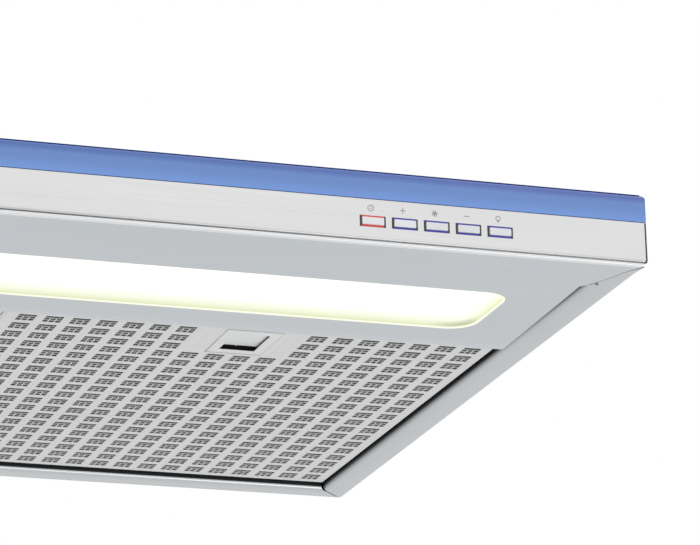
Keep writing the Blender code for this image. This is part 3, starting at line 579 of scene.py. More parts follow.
class Bench:
    """Adds a primitive, shapes it in edit mode and finishes it with modifiers."""

    def __init__(self, name: str) -> None:
        """Args:
            name: the piece's name.
        """
        self.name = name

    # -- starting

    def _adopt(self) -> "Bench":
        """Name the new primitive and go into edit mode."""
        self.piece = bpy.context.view_layer.objects.active
        self.piece.name = self.name
        self.piece.data.name = self.name
        bpy.ops.object.transform_apply(location=True, rotation=True, scale=True)
        bpy.ops.object.mode_set(mode="EDIT")
        return self

    @staticmethod
    def rest() -> None:
        """Leave edit mode and deselect everything."""
        if bpy.context.view_layer.objects.active and bpy.context.mode != "OBJECT":
            bpy.ops.object.mode_set(mode="OBJECT")
        bpy.ops.object.select_all(action="DESELECT")

    def box(self, low: Spot, high: Spot) -> "Bench":
        """Start from a block.

        Args:
            low: its low corner.
            high: its high corner.

        Returns:
            The bench itself.
        """
        self.rest()
        middle = [(a + b) / 2 for a, b in zip(low, high)]
        bpy.ops.mesh.primitive_cube_add(size=1.0, location=middle)
        bpy.context.object.scale = [b - a for a, b in zip(low, high)]
        return self._adopt()

    def plate(self, low: Spot, high: Spot) -> "Bench":
        """Start from a flat rectangle; the axis on which its corners agree is its normal.

        Args:
            low: its low corner.
            high: its high corner.

        Returns:
            The bench itself.
        """
        self.rest()
        middle = [(a + b) / 2 for a, b in zip(low, high)]
        bpy.ops.mesh.primitive_plane_add(size=1.0, location=middle)
        plane = bpy.context.object
        size = [b - a for a, b in zip(low, high)]
        if abs(size[2]) < TINY:
            plane.scale = (size[0], size[1], 1.0)
        elif abs(size[1]) < TINY:
            plane.rotation_euler = (math.pi / 2, 0.0, 0.0)
            plane.scale = (size[0], size[2], 1.0)
        else:
            plane.rotation_euler = (0.0, math.pi / 2, 0.0)
            plane.scale = (size[2], size[1], 1.0)
        return self._adopt()

    def disc(self, centre: Spot, radius: float, count: int, axis: str = "Z") -> "Bench":
        """Start from a filled circle.

        Args:
            centre: its middle.
            radius: its radius.
            count: its corners.
            axis: X, Y or Z, the axis that it faces along.

        Returns:
            The bench itself.
        """
        self.rest()
        turn = {"Z": (0.0, 0.0, 0.0), "Y": (math.pi / 2, 0.0, 0.0), "X": (0.0, math.pi / 2, 0.0)}[axis]
        bpy.ops.mesh.primitive_circle_add(vertices=count, radius=radius, fill_type="NGON", location=centre,
                                          rotation=turn)
        return self._adopt()

    def copy_of(self, node: str) -> "Bench":
        """Start from a merged copy of a node of the frame, with its flat faces made whole.

        Args:
            node: the frame's node.

        Returns:
            The bench itself.
        """
        self.rest()
        source = frame["nodes"][node]
        piece = bpy.data.objects.new(self.name, source.data.copy())
        bpy.context.scene.collection.objects.link(piece)
        bpy.context.view_layer.objects.active = piece
        piece.select_set(True)
        self._adopt()
        bpy.ops.mesh.select_all(action="SELECT")
        bpy.ops.mesh.remove_doubles(threshold=1e-6)
        bpy.ops.mesh.dissolve_limited(angle_limit=math.radians(0.6))
        return self

    # -- choosing

    def pick(self, kind: str, test: Test) -> "Bench":
        """Select faces or edges whose middle, or vertices whose place, passes a test.

        Args:
            kind: FACE, EDGE or VERT.
            test: takes the middle or the place.

        Returns:
            The bench itself.
        """
        bpy.ops.mesh.select_mode(type=kind)
        bpy.ops.mesh.select_all(action="DESELECT")
        shape = bmesh.from_edit_mesh(self.piece.data)
        if kind == "FACE":
            for face in shape.faces:
                face.select_set(test(face.calc_center_median()))
        elif kind == "EDGE":
            for edge in shape.edges:
                edge.select_set(all(test(vert.co) for vert in edge.verts))
        else:
            for vert in shape.verts:
                vert.select_set(test(vert.co))
        shape.select_flush_mode()
        bmesh.update_edit_mesh(self.piece.data)
        return self

    def all(self) -> "Bench":
        """Select everything."""
        bpy.ops.mesh.select_all(action="SELECT")
        return self

    # -- shaping

    def extrude(self, x: float = 0.0, y: float = 0.0, z: float = 0.0) -> "Bench":
        """Extrude the selection along a vector."""
        bpy.ops.mesh.extrude_region_move(TRANSFORM_OT_translate={"value": (x, y, z)})
        return self

    def inset(self, thickness: float, depth: float = 0.0) -> "Bench":
        """Inset the selected faces, and sink or raise them along their normal."""
        bpy.ops.mesh.inset(thickness=thickness, depth=depth, use_even_offset=True)
        return self

    def round(self, width: float, steps: int, corners: bool = False) -> "Bench":
        """Bevel the selected edges, or the corners of a flat outline.

        Args:
            width: radius of the round.
            steps: facets across it.
            corners: whether corners are rounded and not edges.

        Returns:
            The bench itself.
        """
        affect = "VERTICES" if corners else "EDGES"
        bpy.ops.mesh.bevel(offset=width, segments=steps, profile=0.5, affect=affect)
        return self

    def slice(self, point: Spot, normal: Spot) -> "Bench":
        """Cut everything along a plane, and keep both sides.

        Args:
            point: a point on the plane.
            normal: its normal, of any length.

        Returns:
            The bench itself.
        """
        self.all()
        bpy.ops.mesh.bisect(plane_co=point, plane_no=Vector(normal).normalized(), threshold=1e-7)
        return self

    def delete(self, kind: str) -> "Bench":
        """Delete the selected VERT, EDGE or FACE."""
        bpy.ops.mesh.delete(type=kind)
        return self

    def snap(self, change: Callable[[Vector], Sequence[float]]) -> "Bench":
        """Put each selected vertex in the place that a rule gives it.

        Args:
            change: takes the old place and gives the new one.

        Returns:
            The bench itself.
        """
        shape = bmesh.from_edit_mesh(self.piece.data)
        for vert in shape.verts:
            if vert.select:
                vert.co = change(vert.co)
        bmesh.update_edit_mesh(self.piece.data)
        return self

    def facing(self, direction: Spot) -> "Bench":
        """Make an open sheet's normals agree.

        Args:
            direction: where its largest face looks.

        Returns:
            The bench itself.
        """
        self.all()
        bpy.ops.mesh.normals_make_consistent(inside=False)
        shape = bmesh.from_edit_mesh(self.piece.data)
        largest = max(shape.faces, key=lambda face: face.calc_area())
        if largest.normal.dot(Vector(direction)) < 0:
            bpy.ops.mesh.flip_normals()
        return self

    # -- finishing

    def modify(self, kind: str, **settings: object) -> "Bench":
        """Add a modifier and apply it.

        Args:
            kind: the modifier's type.
            settings: its settings, by name.

        Returns:
            The bench itself.
        """
        if bpy.context.mode != "OBJECT":
            bpy.ops.object.mode_set(mode="OBJECT")
        bpy.context.view_layer.objects.active = self.piece
        step = self.piece.modifiers.new(kind.lower(), kind)
        for name, value in settings.items():
            setattr(step, name, value)
        bpy.ops.object.modifier_apply(modifier=step.name)
        return self

    def wall(self, thickness: float) -> "Bench":
        """Give a sheet its thickness behind its face."""
        return self.modify("SOLIDIFY", thickness=thickness, offset=-1.0, use_even_offset=True)

    def ease(self, width: float, steps: int = 2, angle: float = 40.0) -> "Bench":
        """Round off every edge sharper than an angle."""
        return self.modify("BEVEL", width=width, segments=steps, limit_method="ANGLE",
                           angle_limit=math.radians(angle), harden_normals=False)

    def drill(self, tool: "Bench") -> "Bench":
        """Cut another piece out of this one.

        Args:
            tool: the piece to cut with, which is used up.

        Returns:
            The bench itself.
        """
        tool.rest()
        self.modify("BOOLEAN", operation="DIFFERENCE", object=tool.piece, solver="EXACT")
        bpy.data.objects.remove(tool.piece)
        return self

    def join(self, others: Iterable["Bench"]) -> "Bench":
        """Take other pieces into this one.

        Args:
            others: the pieces, which are used up.

        Returns:
            The bench itself.
        """
        self.rest()
        for other in others:
            other.piece.select_set(True)
        self.piece.select_set(True)
        bpy.context.view_layer.objects.active = self.piece
        bpy.ops.object.join()
        return self

    def dress(self, material: bpy.types.Material, slot: str, body: str = CASING,
              stands_for: Sequence[str] = (), smooth: float = 35.0) -> bpy.types.Object:
        """Finish the piece: shade it, paint it and hand it to the frame.

        Args:
            material: its material.
            slot: the record's material slot; not used.
            body: the body that it rides on.
            stands_for: nodes of the frame that it replaces.
            smooth: edges sharper than this angle stay sharp.

        Returns:
            The finished object.
        """
        self.rest()
        self.piece.select_set(True)
        bpy.context.view_layer.objects.active = self.piece
        bpy.ops.object.shade_smooth_by_angle(angle=math.radians(smooth))
        self.piece.data.materials.clear()
        self.piece.data.materials.append(material)
        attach(self.piece, body)
        if stands_for:
            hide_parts(*stands_for)
        LOG.info("%s: %d faces, rides on %s", self.name, len(self.piece.data.polygons), body)
        return self.piece


def near(value: float, target: float, reach: float = TINY) -> bool:
    """Whether two lengths agree."""
    return abs(value - target) < reach


# ------------------------------------------------------------------ places

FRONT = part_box("fascia")[0].y
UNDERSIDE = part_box("front_panel")[0].z


def spot(x: float, depth: float, height: float) -> Spot:
    """A place in the frame.

    Args:
        x: millimetres to the right of the middle.
        depth: millimetres behind the front face.
        height: millimetres above the flat underside.

    Returns:
        The place in metres.
    """
    return (x * MM, FRONT + depth * MM, UNDERSIDE + height * MM)


def body_of(node: str) -> str:
    """The body that a node of the frame rides on."""
    return frame["nodes"][node]["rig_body"]


def slot_of(node: str) -> str:
    """The material slot that the record gives a node."""
    return next(part["material_slot"] for part in frame["record"]["subparts"] if part["node"] == node)


def refine(node: str, material: bpy.types.Material, edge: float = 0.25 * MM,
           steps: int = 2) -> bpy.types.Object:
    """Stand a merged copy of a node, with its edges eased, in the node's place.

    Args:
        node: the frame's node.
        material: the copy's material.
        edge: width of the eased edges.
        steps: facets across each eased edge.

    Returns:
        The finished piece.
    """
    bench = Bench(f"{node}_body").copy_of(node)
    if edge > 0:
        bench.ease(edge, steps)
    return bench.dress(material, slot_of(node), body_of(node), [node])


# ------------------------------------------------------------------ sub-assemblies


@dataclass
class Casing:
    """Folded steel shell: side, rear, top and front panels, with the rivets and the cord gland.

    Attributes:
        sheet: thickness of the sheet.
        fold: radius of the outer folds.
        seam: depth and half width, in millimetres, of the seam between front panel and side flange.
        slot: the same where the seam opens into a slot beside the front panel.
        seam_gap: half of the seam's gap, in millimetres.
        slope: depth and height, in millimetres, of both ends of the roof's slope.
        lip: height of the upturned lips.
        roll: radius of the side flanges' inner edge.
        rear_roll: radius of the rear flange's inner edge.
        knee: radius of the roof's bends.
        duct_hole: radius of the hole below the duct collar.
        gland_hole: radius of the cord gland's hole.
        screw_hole: radius of the holes for the cabinet's screws.
        screws: reach from the middle and depths of the screw holes, in millimetres.
        bolt_half: half width of the latch bolts' cuts.
        bolt_heights: heights of the latch bolts' cuts above the underside.
        steel: the brushed steel of the side panels.
    """

    sheet: float = 1.0 * MM
    fold: float = 1.8 * MM
    seam: tuple = ((4.6, 299.6), (15.0, 293.0), (26.0, 289.5), (36.0, 285.0), (43.0, 281.8))
    slot: tuple = ((43.0, 279.9), (150.0, 281.9))
    seam_gap: float = 0.2
    slope: tuple = ((14.0, 37.6), (190.0, 100.0))
    lip: float = 7.0 * MM
    roll: float = 4.2 * MM
    rear_roll: float = 1.9 * MM
    knee: float = 3.0 * MM
    duct_hole: float = 60.0 * MM
    gland_hole: float = 9.3 * MM
    screw_hole: float = 2.6 * MM
    screws: tuple = (230, (220, 440))
    bolt_half: float = 6.8 * MM
    bolt_heights: tuple = (3.4 * MM, 7.6 * MM)
    steel: bpy.types.Material = field(init=False)

    def build(self) -> None:
        """Model and dress every panel."""
        # The side panels' steel has painted shade on its inner lips, up to 3 mm above the underside.
        self.steel = BrushedSteel("casing_steel", (0.72, 0.735, 0.74), 0.32, Grain.ALONG_Y,
                                  film=(0.0, 3.0 * MM)).make()
        for hand in Hand:
            self._side(hand)
        self._rear()
        self._top()
        self._front()
        zinc = Galvanised("rivet_zinc", (0.36, 0.37, 0.38)).make()
        for hand in Hand:
            refine(f"corner_rivet_{hand.word}", zinc, 0.08 * MM)
        rubber = Moulding("gland_rubber", (0.035, 0.035, 0.035), 0.55).make()
        refine("cord_gland", rubber, 0.3 * MM)

    def _above_slope(self, place: Vector) -> bool:
        """Whether a place lies above the roof line.

        Args:
            place: a point of a side panel.

        Returns:
            True above the line.
        """
        (depth_a, height_a), (depth_b, height_b) = self.slope
        depth = (place.y - FRONT) / MM
        height = (place.z - UNDERSIDE) / MM
        line = height_a + (height_b - height_a) * max(0.0, depth - depth_a) / (depth_b - depth_a)
        return height > line

    def _side(self, hand: Hand) -> None:
        """Side wall with its mitred bottom flange and upturned lip.

        Args:
            hand: the side to build.
        """
        node = f"side_panel_{hand.word}"
        low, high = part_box(node)
        outer = high.x if hand is Hand.RIGHT else low.x
        inner = low.x if hand is Hand.RIGHT else high.x
        shape = Bench(f"side_shell_{hand.word}").plate((outer, low.y, low.z), (outer, high.y, high.z))
        (depth_a, height_a), (depth_b, height_b) = self.slope
        shape.slice(spot(0, depth_a, height_a), (0.0, height_a - height_b, depth_b - depth_a))
        shape.slice(spot(0, 0, height_a), (0, 0, 1))
        shape.pick("FACE", self._above_slope).delete("FACE")
        shape.pick("EDGE", lambda place: near(place.z, low.z)).extrude(x=inner - outer)
        for depth, _ in self.seam[1:]:
            shape.slice(spot(0, depth, 0), (0, 1, 0))
        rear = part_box("rear_panel")[0].y

        def mitre(place: Vector) -> Sequence[float]:
            """Place on the mitred seam of a point on the flange's inner edge."""
            for depth, x in self.seam[:-1]:
                if near(place.y, FRONT + depth * MM):
                    return (hand.value * (x + self.seam_gap) * MM, place.y, place.z)
            return (place.x, min(place.y, rear), place.z)

        shape.pick("VERT", lambda place: near(place.x, inner)).snap(mitre)
        shape.pick("EDGE", lambda place: near(place.x, inner)).extrude(z=self.lip)
        shape.pick("EDGE", lambda place: near(place.x, outer) and near(place.z, low.z)).round(self.fold, 4)
        shape.pick("EDGE", lambda place: near(place.x, inner) and near(place.z, low.z)).round(self.roll, 6)
        shape.facing((hand.value, 0, 0)).wall(self.sheet)
        shape.dress(self.steel, slot_of(node), stands_for=[node])

    def _rear(self) -> None:
        """Back wall with its mitred flange and upturned lip."""
        low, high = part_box("rear_panel")
        shape = Bench("rear_shell").plate((low.x, high.y, low.z), (high.x, high.y, high.z))
        shape.pick("EDGE", lambda place: near(place.z, low.z)).extrude(y=low.y - high.y)
        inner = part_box("side_panel_right")[0].x - 0.9 * MM
        shape.pick("VERT", lambda place: near(place.y, low.y)).snap(
            lambda place: (math.copysign(inner, place.x), place.y, place.z))
        shape.pick("EDGE", lambda place: near(place.y, low.y)).extrude(z=self.lip)
        shape.pick("EDGE", lambda place: near(place.y, high.y) and near(place.z, low.z)).round(self.fold, 4)
        shape.pick("EDGE", lambda place: near(place.y, low.y) and near(place.z, low.z))
        shape.round(self.rear_roll, 5)
        shape.facing((0, 1, 0)).wall(self.sheet)
        # Painted shade darkens the rear lip between 1.5 and 2.2 mm above the underside.
        steel = BrushedSteel("rear_steel", (0.72, 0.735, 0.74), 0.32, film=(1.5 * MM, 2.2 * MM)).make()
        shape.dress(steel, slot_of("rear_panel"), stands_for=["rear_panel"])

    def _top(self) -> None:
        """Roof with its slope, front leg and holes."""
        low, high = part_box("top_panel")
        (depth_a, height_a), (depth_b, height_b) = self.slope
        slope_y = FRONT + depth_b * MM
        knee_y = FRONT + depth_a * MM
        shape = Bench("roof_shell").plate((low.x, slope_y, high.z), (high.x, high.y, high.z))
        shape.pick("EDGE", lambda place: near(place.y, slope_y))
        shape.extrude(y=knee_y - slope_y, z=(height_a - height_b) * MM)
        shape.extrude(y=low.y - knee_y).extrude(z=low.z - UNDERSIDE - height_a * MM)
        shape.pick("EDGE", lambda place: near(place.y, slope_y)).round(self.knee, 4)
        shape.pick("EDGE", lambda place: near(place.y, knee_y)).round(self.knee, 4)
        knee = UNDERSIDE + height_a * MM
        shape.pick("EDGE", lambda place: near(place.y, low.y) and near(place.z, knee)).round(self.fold, 4)
        shape.facing((0, 0, 1)).wall(self.sheet)
        collar_low, collar_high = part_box("duct_collar")
        duct = [(a + b) / 2 for a, b in zip(collar_low, collar_high)]
        gland_low, gland_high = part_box("cord_gland")
        gland = [(a + b) / 2 for a, b in zip(gland_low, gland_high)]
        holes = [(duct, self.duct_hole, 96), (gland, self.gland_hole, 32)]
        reach, depths = self.screws
        holes += [(spot(x, depth, 0), self.screw_hole, 20) for x in (-reach, reach) for depth in depths]
        for centre, radius, count in holes:
            tool = Bench("hole").disc((centre[0], centre[1], high.z + 3 * MM), radius, count).all()
            shape.drill(tool.extrude(z=-8 * MM))
        steel = BrushedSteel("roof_steel", colour=(0.72, 0.73, 0.74), roughness=0.36).make()
        shape.dress(steel, slot_of("top_panel"), stands_for=["top_panel"])

    def _front(self) -> None:
        """Underside panel with the lamp opening, its rounded front fold and its rear lip."""
        low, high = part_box("front_panel")
        seam = [(4.2, 298.8 + self.seam_gap), *self.seam[1:-1], *self.slot]
        shape = Bench("underside_shell").plate((low.x, low.y, low.z), (high.x, high.y, low.z))
        for depth, _ in seam:
            shape.slice(spot(0, depth, 0), (0, 1, 0))

        def edge(place: Vector) -> Sequence[float]:
            """Place on the seam of a point on the panel's side edge."""
            reach = abs(place.x)
            for depth, x in seam:
                if place.y > FRONT + depth * MM - TINY:
                    reach = (x - self.seam_gap) * MM
            return (math.copysign(reach, place.x), place.y, place.z)

        shape.all().snap(edge)
        shape.pick("EDGE", lambda place: near(place.y, low.y)).extrude(z=high.z - low.z)
        shape.pick("EDGE", lambda place: near(place.y, high.y)).extrude(z=12 * MM)
        shape.pick("EDGE", lambda place: near(place.y, low.y) and near(place.z, low.z)).round(1.8 * MM, 6)
        shape.pick("EDGE", lambda place: near(place.y, high.y) and near(place.z, low.z)).round(1.2 * MM, 3)
        shape.facing((0, 0, -1)).wall(self.sheet)
        near_side, far_side = Lamp.outline
        opening = Bench("opening").plate((*near_side, low.z - 4 * MM), (*far_side, low.z - 4 * MM))
        shape.drill(opening.all().round(Lamp.corner, 10, corners=True).all().extrude(z=8 * MM))
        board_low, board_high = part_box("control_board")
        shape.drill(Bench("board_cut").box((board_low.x, low.y - MM, board_low.z),
                                           (board_high.x, low.y + 2 * MM, board_high.z)))
        for hand in Hand:
            bolt_low, bolt_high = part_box(f"latch_slider_{hand.word}")
            middle = (bolt_low.x + bolt_high.x) / 2
            bottom, top = (UNDERSIDE + height for height in self.bolt_heights)
            shape.drill(Bench("bolt_cut").box((middle - self.bolt_half, high.y - 3 * MM, bottom),
                                              (middle + self.bolt_half, high.y + 3 * MM, top)))
        # The front fold gets a painted white highlight, fading out between 5.4 and 6.4 mm behind the front.
        steel = BrushedSteel("underside_steel", (0.75, 0.78, 0.80), 0.34, polish=(5.4 * MM, 6.4 * MM)).make()
        shape.dress(steel, slot_of("front_panel"), stands_for=["front_panel"])


@dataclass
class FrontTrim:
    """Steel fascia with printed symbols, its dark seal and the tinted strip above it.

    Attributes:
        print_height: height of the symbols' middles, in millimetres above the underside.
        print_shift: their shift from the buttons' middles, in millimetres.
        stroke: width of their strokes, in millimetres.
        cut_gap: clearance round each lit frame.
    """

    print_height: float = 17.7
    print_shift: float = -0.9
    stroke: float = 0.34
    cut_gap: float = 0.15 * MM

    def build(self) -> None:
        """Model and dress the trim."""
        self._fascia()
        # Below 0.45 mm above the underside the seal gets a painted white highlight, standing in for the light
        # on the fold below it.
        rubber = Moulding("seal_rubber", (0.085, 0.09, 0.085), 0.6, bead=0.45 * MM).make()
        refine("fascia_seal", rubber, 0.12 * MM)
        self._strip()
        ink = Moulding("print_grey", (0.22, 0.22, 0.22), 0.5).make()
        for maker in (self._clock, self._plus, self._rotor, self._minus, self._bulb):
            maker(ink)

    def _fascia(self) -> None:
        """Brushed plate with an opening for each lit frame."""
        low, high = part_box("fascia")
        shape = Bench("fascia_plate").box(low, high)
        shape.pick("EDGE", lambda place: near(abs(place.x), high.x) and near(place.z, low.z))
        shape.round(1.5 * MM, 6)
        for name in Controls.names:
            frame_low, frame_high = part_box(f"{name}_frame")
            gap = self.cut_gap
            shape.drill(Bench("frame_cut").box((frame_low.x - gap, low.y - MM, frame_low.z - gap),
                                               (frame_high.x + gap, high.y + MM, frame_high.z + gap)))
        shape.ease(0.16 * MM, 2)
        steel = BrushedSteel("fascia_steel", (0.77, 0.77, 0.775), 0.3).make()
        shape.dress(steel, slot_of("fascia"), stands_for=["fascia"])

    def _strip(self) -> None:
        """Acrylic strip with rounded top corners, a full round along its top front edge and eased edges
        elsewhere.
        """
        low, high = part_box("tint_strip")
        shape = Bench("tinted_strip").box(low, high)
        shape.pick("EDGE", lambda place: near(abs(place.x), high.x) and near(place.z, high.z))
        shape.round(2.8 * MM, 8)
        shape.pick("EDGE", lambda place: near(place.y, low.y) and near(place.z, high.z)).round(2.6 * MM, 8)
        shape.ease(0.3 * MM, 3, 50.0)
        acrylic = TintedAcrylic("tinted_acrylic", low.z, high.z, high.x).make()
        shape.dress(acrylic, slot_of("tint_strip"), stands_for=["tint_strip"], smooth=50.0)

    def _middle(self, name: str) -> tuple[float, float]:
        """Middle of the symbol above a button, in millimetres from the middle and the underside."""
        low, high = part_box(f"{name}_button")
        return ((low.x + high.x) / 2 / MM + self.print_shift, self.print_height)

    def _bar(self, x: float, height: float, half_x: float, half_z: float) -> Bench:
        """One straight stroke of a symbol."""
        low = spot(x - half_x, -0.03, height - half_z)
        return Bench("stroke").box(low, spot(x + half_x, 0.05, height + half_z))

    def _ring(self, x: float, height: float, radius: float) -> Bench:
        """One round stroke of a symbol."""
        ring = Bench("stroke").disc(spot(x, -0.03, height), radius * MM, 28, "Y").all()
        return ring.inset(self.stroke * MM).delete("FACE").all().extrude(y=0.08 * MM)

    def _symbol(self, name: str, strokes: Sequence[Bench], ink: bpy.types.Material) -> None:
        """Join a symbol's strokes and dress them.

        Args:
            name: the symbol's name.
            strokes: its strokes.
            ink: its material.
        """
        whole = strokes[0].join(strokes[1:]) if len(strokes) > 1 else strokes[0]
        whole.piece.name = name
        whole.name = name
        whole.dress(ink, slot_of("fascia"))

    def _clock(self, ink: bpy.types.Material) -> None:
        """Timer symbol: a dial with two hands."""
        x, height = self._middle("timer")
        half = self.stroke / 2
        hands = [self._bar(x + 0.25, height + 0.35, half * 0.8, 0.75)]
        hands.append(self._bar(x - 0.15, height - 0.35, 0.55, half * 0.8))
        self._symbol("symbol_timer", [self._ring(x, height, 1.75), *hands], ink)

    def _plus(self, ink: bpy.types.Material) -> None:
        """Plus symbol."""
        x, height = self._middle("plus")
        half = self.stroke / 2
        bars = [self._bar(x, height, 1.5, half), self._bar(x, height + 0.95, half, 0.7)]
        bars.append(self._bar(x, height - 0.95, half, 0.7))
        self._symbol("symbol_plus", bars, ink)

    def _rotor(self, ink: bpy.types.Material) -> None:
        """Fan symbol: four blades round a hub."""
        x, height = self._middle("fan")
        places = ((0.8, 0.3), (-0.3, 0.8), (-0.8, -0.3), (0.3, -0.8))
        blades = [self._ring(x + across, height + up, 0.78) for across, up in places]
        self._symbol("symbol_fan", blades, ink)

    def _minus(self, ink: bpy.types.Material) -> None:
        """Minus symbol."""
        x, height = self._middle("minus")
        self._symbol("symbol_minus", [self._bar(x, height, 1.6, self.stroke / 2)], ink)

    def _bulb(self, ink: bpy.types.Material) -> None:
        """Lamp symbol: a bulb on its cap."""
        x, height = self._middle("light")
        cap = self._bar(x, height - 1.3, 0.5, 0.28)
        self._symbol("symbol_light", [self._ring(x, height + 0.3, 1.35), cap], ink)


@dataclass
class Controls:
    """Push buttons in their lit frames, with the board and housing behind them.

    Attributes:
        names: the buttons from left to right.
        red: colour of the first button's frame.
        blue: colour of the other frames.
    """

    names = ("timer", "plus", "fan", "minus", "light")
    red: Colour = (0.62, 0.045, 0.03)
    blue: Colour = (0.035, 0.03, 0.30)

    def build(self) -> None:
        """Model and dress the controls."""
        cap = Moulding("button_cap", (0.80, 0.81, 0.84), 0.28, 700.0, 0.006 * MM, 0.3).make()
        for name in self.names:
            refine(f"{name}_button", cap, 0.35 * MM, 3)
            low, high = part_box(f"{name}_frame")
            colour = self.red if name == "timer" else self.blue
            centre = tuple((a + b) / 2 for a, b in zip(low, high))
            refine(f"{name}_frame", LitFrame(f"{name}_lens", colour, centre).make(), 0.12 * MM)
        refine("control_housing", Moulding("housing_black", (0.04, 0.04, 0.042), 0.5).make())
        refine("control_board", Moulding("board_green", (0.03, 0.16, 0.07), 0.4).make(), 0.1 * MM)
        refine("control_lead", Moulding("lead_grey", (0.35, 0.35, 0.36), 0.5).make(), 0)


@dataclass
class Lamp:
    """Recessed opal diffuser with the fluorescent tube and its gear above it.

    Attributes:
        corner: radius of the opening's corners.
        outline: two opposite corners of the opening.
        gap: clearance between the opening and the diffuser.
        rim: height of the diffuser's rim above the underside.
        rise: height of its window above the rim.
        shell: thickness of its wall.
        steps: how far in and how far up each ring of its wall goes, in millimetres.
    """

    corner = 15.0 * MM
    outline = (spot(-251.5, 64.4, 0)[:2], spot(251.5, 130.6, 0)[:2])
    gap: float = 0.35 * MM
    rim: float = 0.1 * MM
    rise: float = 8.9 * MM
    shell: float = 1.2 * MM
    steps: tuple = ((0.5, 0.0), (0.25, 0.35), (0.45, 2.0), (0.8, 2.2), (1.3, 1.9), (2.0, 1.4), (2.8, 0.6),
                    (4.6, 0.35))

    def build(self) -> None:
        """Model and dress the lamp."""
        self._diffuser()
        enamel = Moulding("lamp_enamel", (0.88, 0.88, 0.86), 0.35, 500.0, 0.01 * MM, 0.2).make()
        for node in ("lamp_reflector", "lampholder_left", "lampholder_right", "lamp_ballast"):
            refine(node, enamel, 0.2 * MM)
        phosphor = Moulding("tube_phosphor", (0.93, 0.94, 0.92), 0.2, 300.0, 0.002 * MM, 0.5).make()
        refine("lamp_tube", phosphor, 0)

    def _diffuser(self) -> None:
        """Opal tray: a lip inside the opening, rounded walls and a flat window."""
        gap, level = self.gap, UNDERSIDE + self.rim
        (left, front), (right, back) = self.outline
        half = ((right - left) / 2, (back - front) / 2)
        centre = (0.0, (front + back) / 2, UNDERSIDE)
        shape = Bench("opal_diffuser")
        shape.plate((left + gap, front + gap, level), (right - gap, back - gap, level))
        shape.all().round(self.corner - gap, 12, corners=True)
        shape.facing((0, 0, -1)).all()
        for thickness, sink in self.steps:
            shape.inset(thickness * MM, -sink * MM)
        shape.wall(self.shell)
        glow = GlowingDiffuser("opal_glow", centre, half, self.rise).make()
        shape.dress(glow, slot_of("light_diffuser"), stands_for=["light_diffuser"], smooth=60.0)


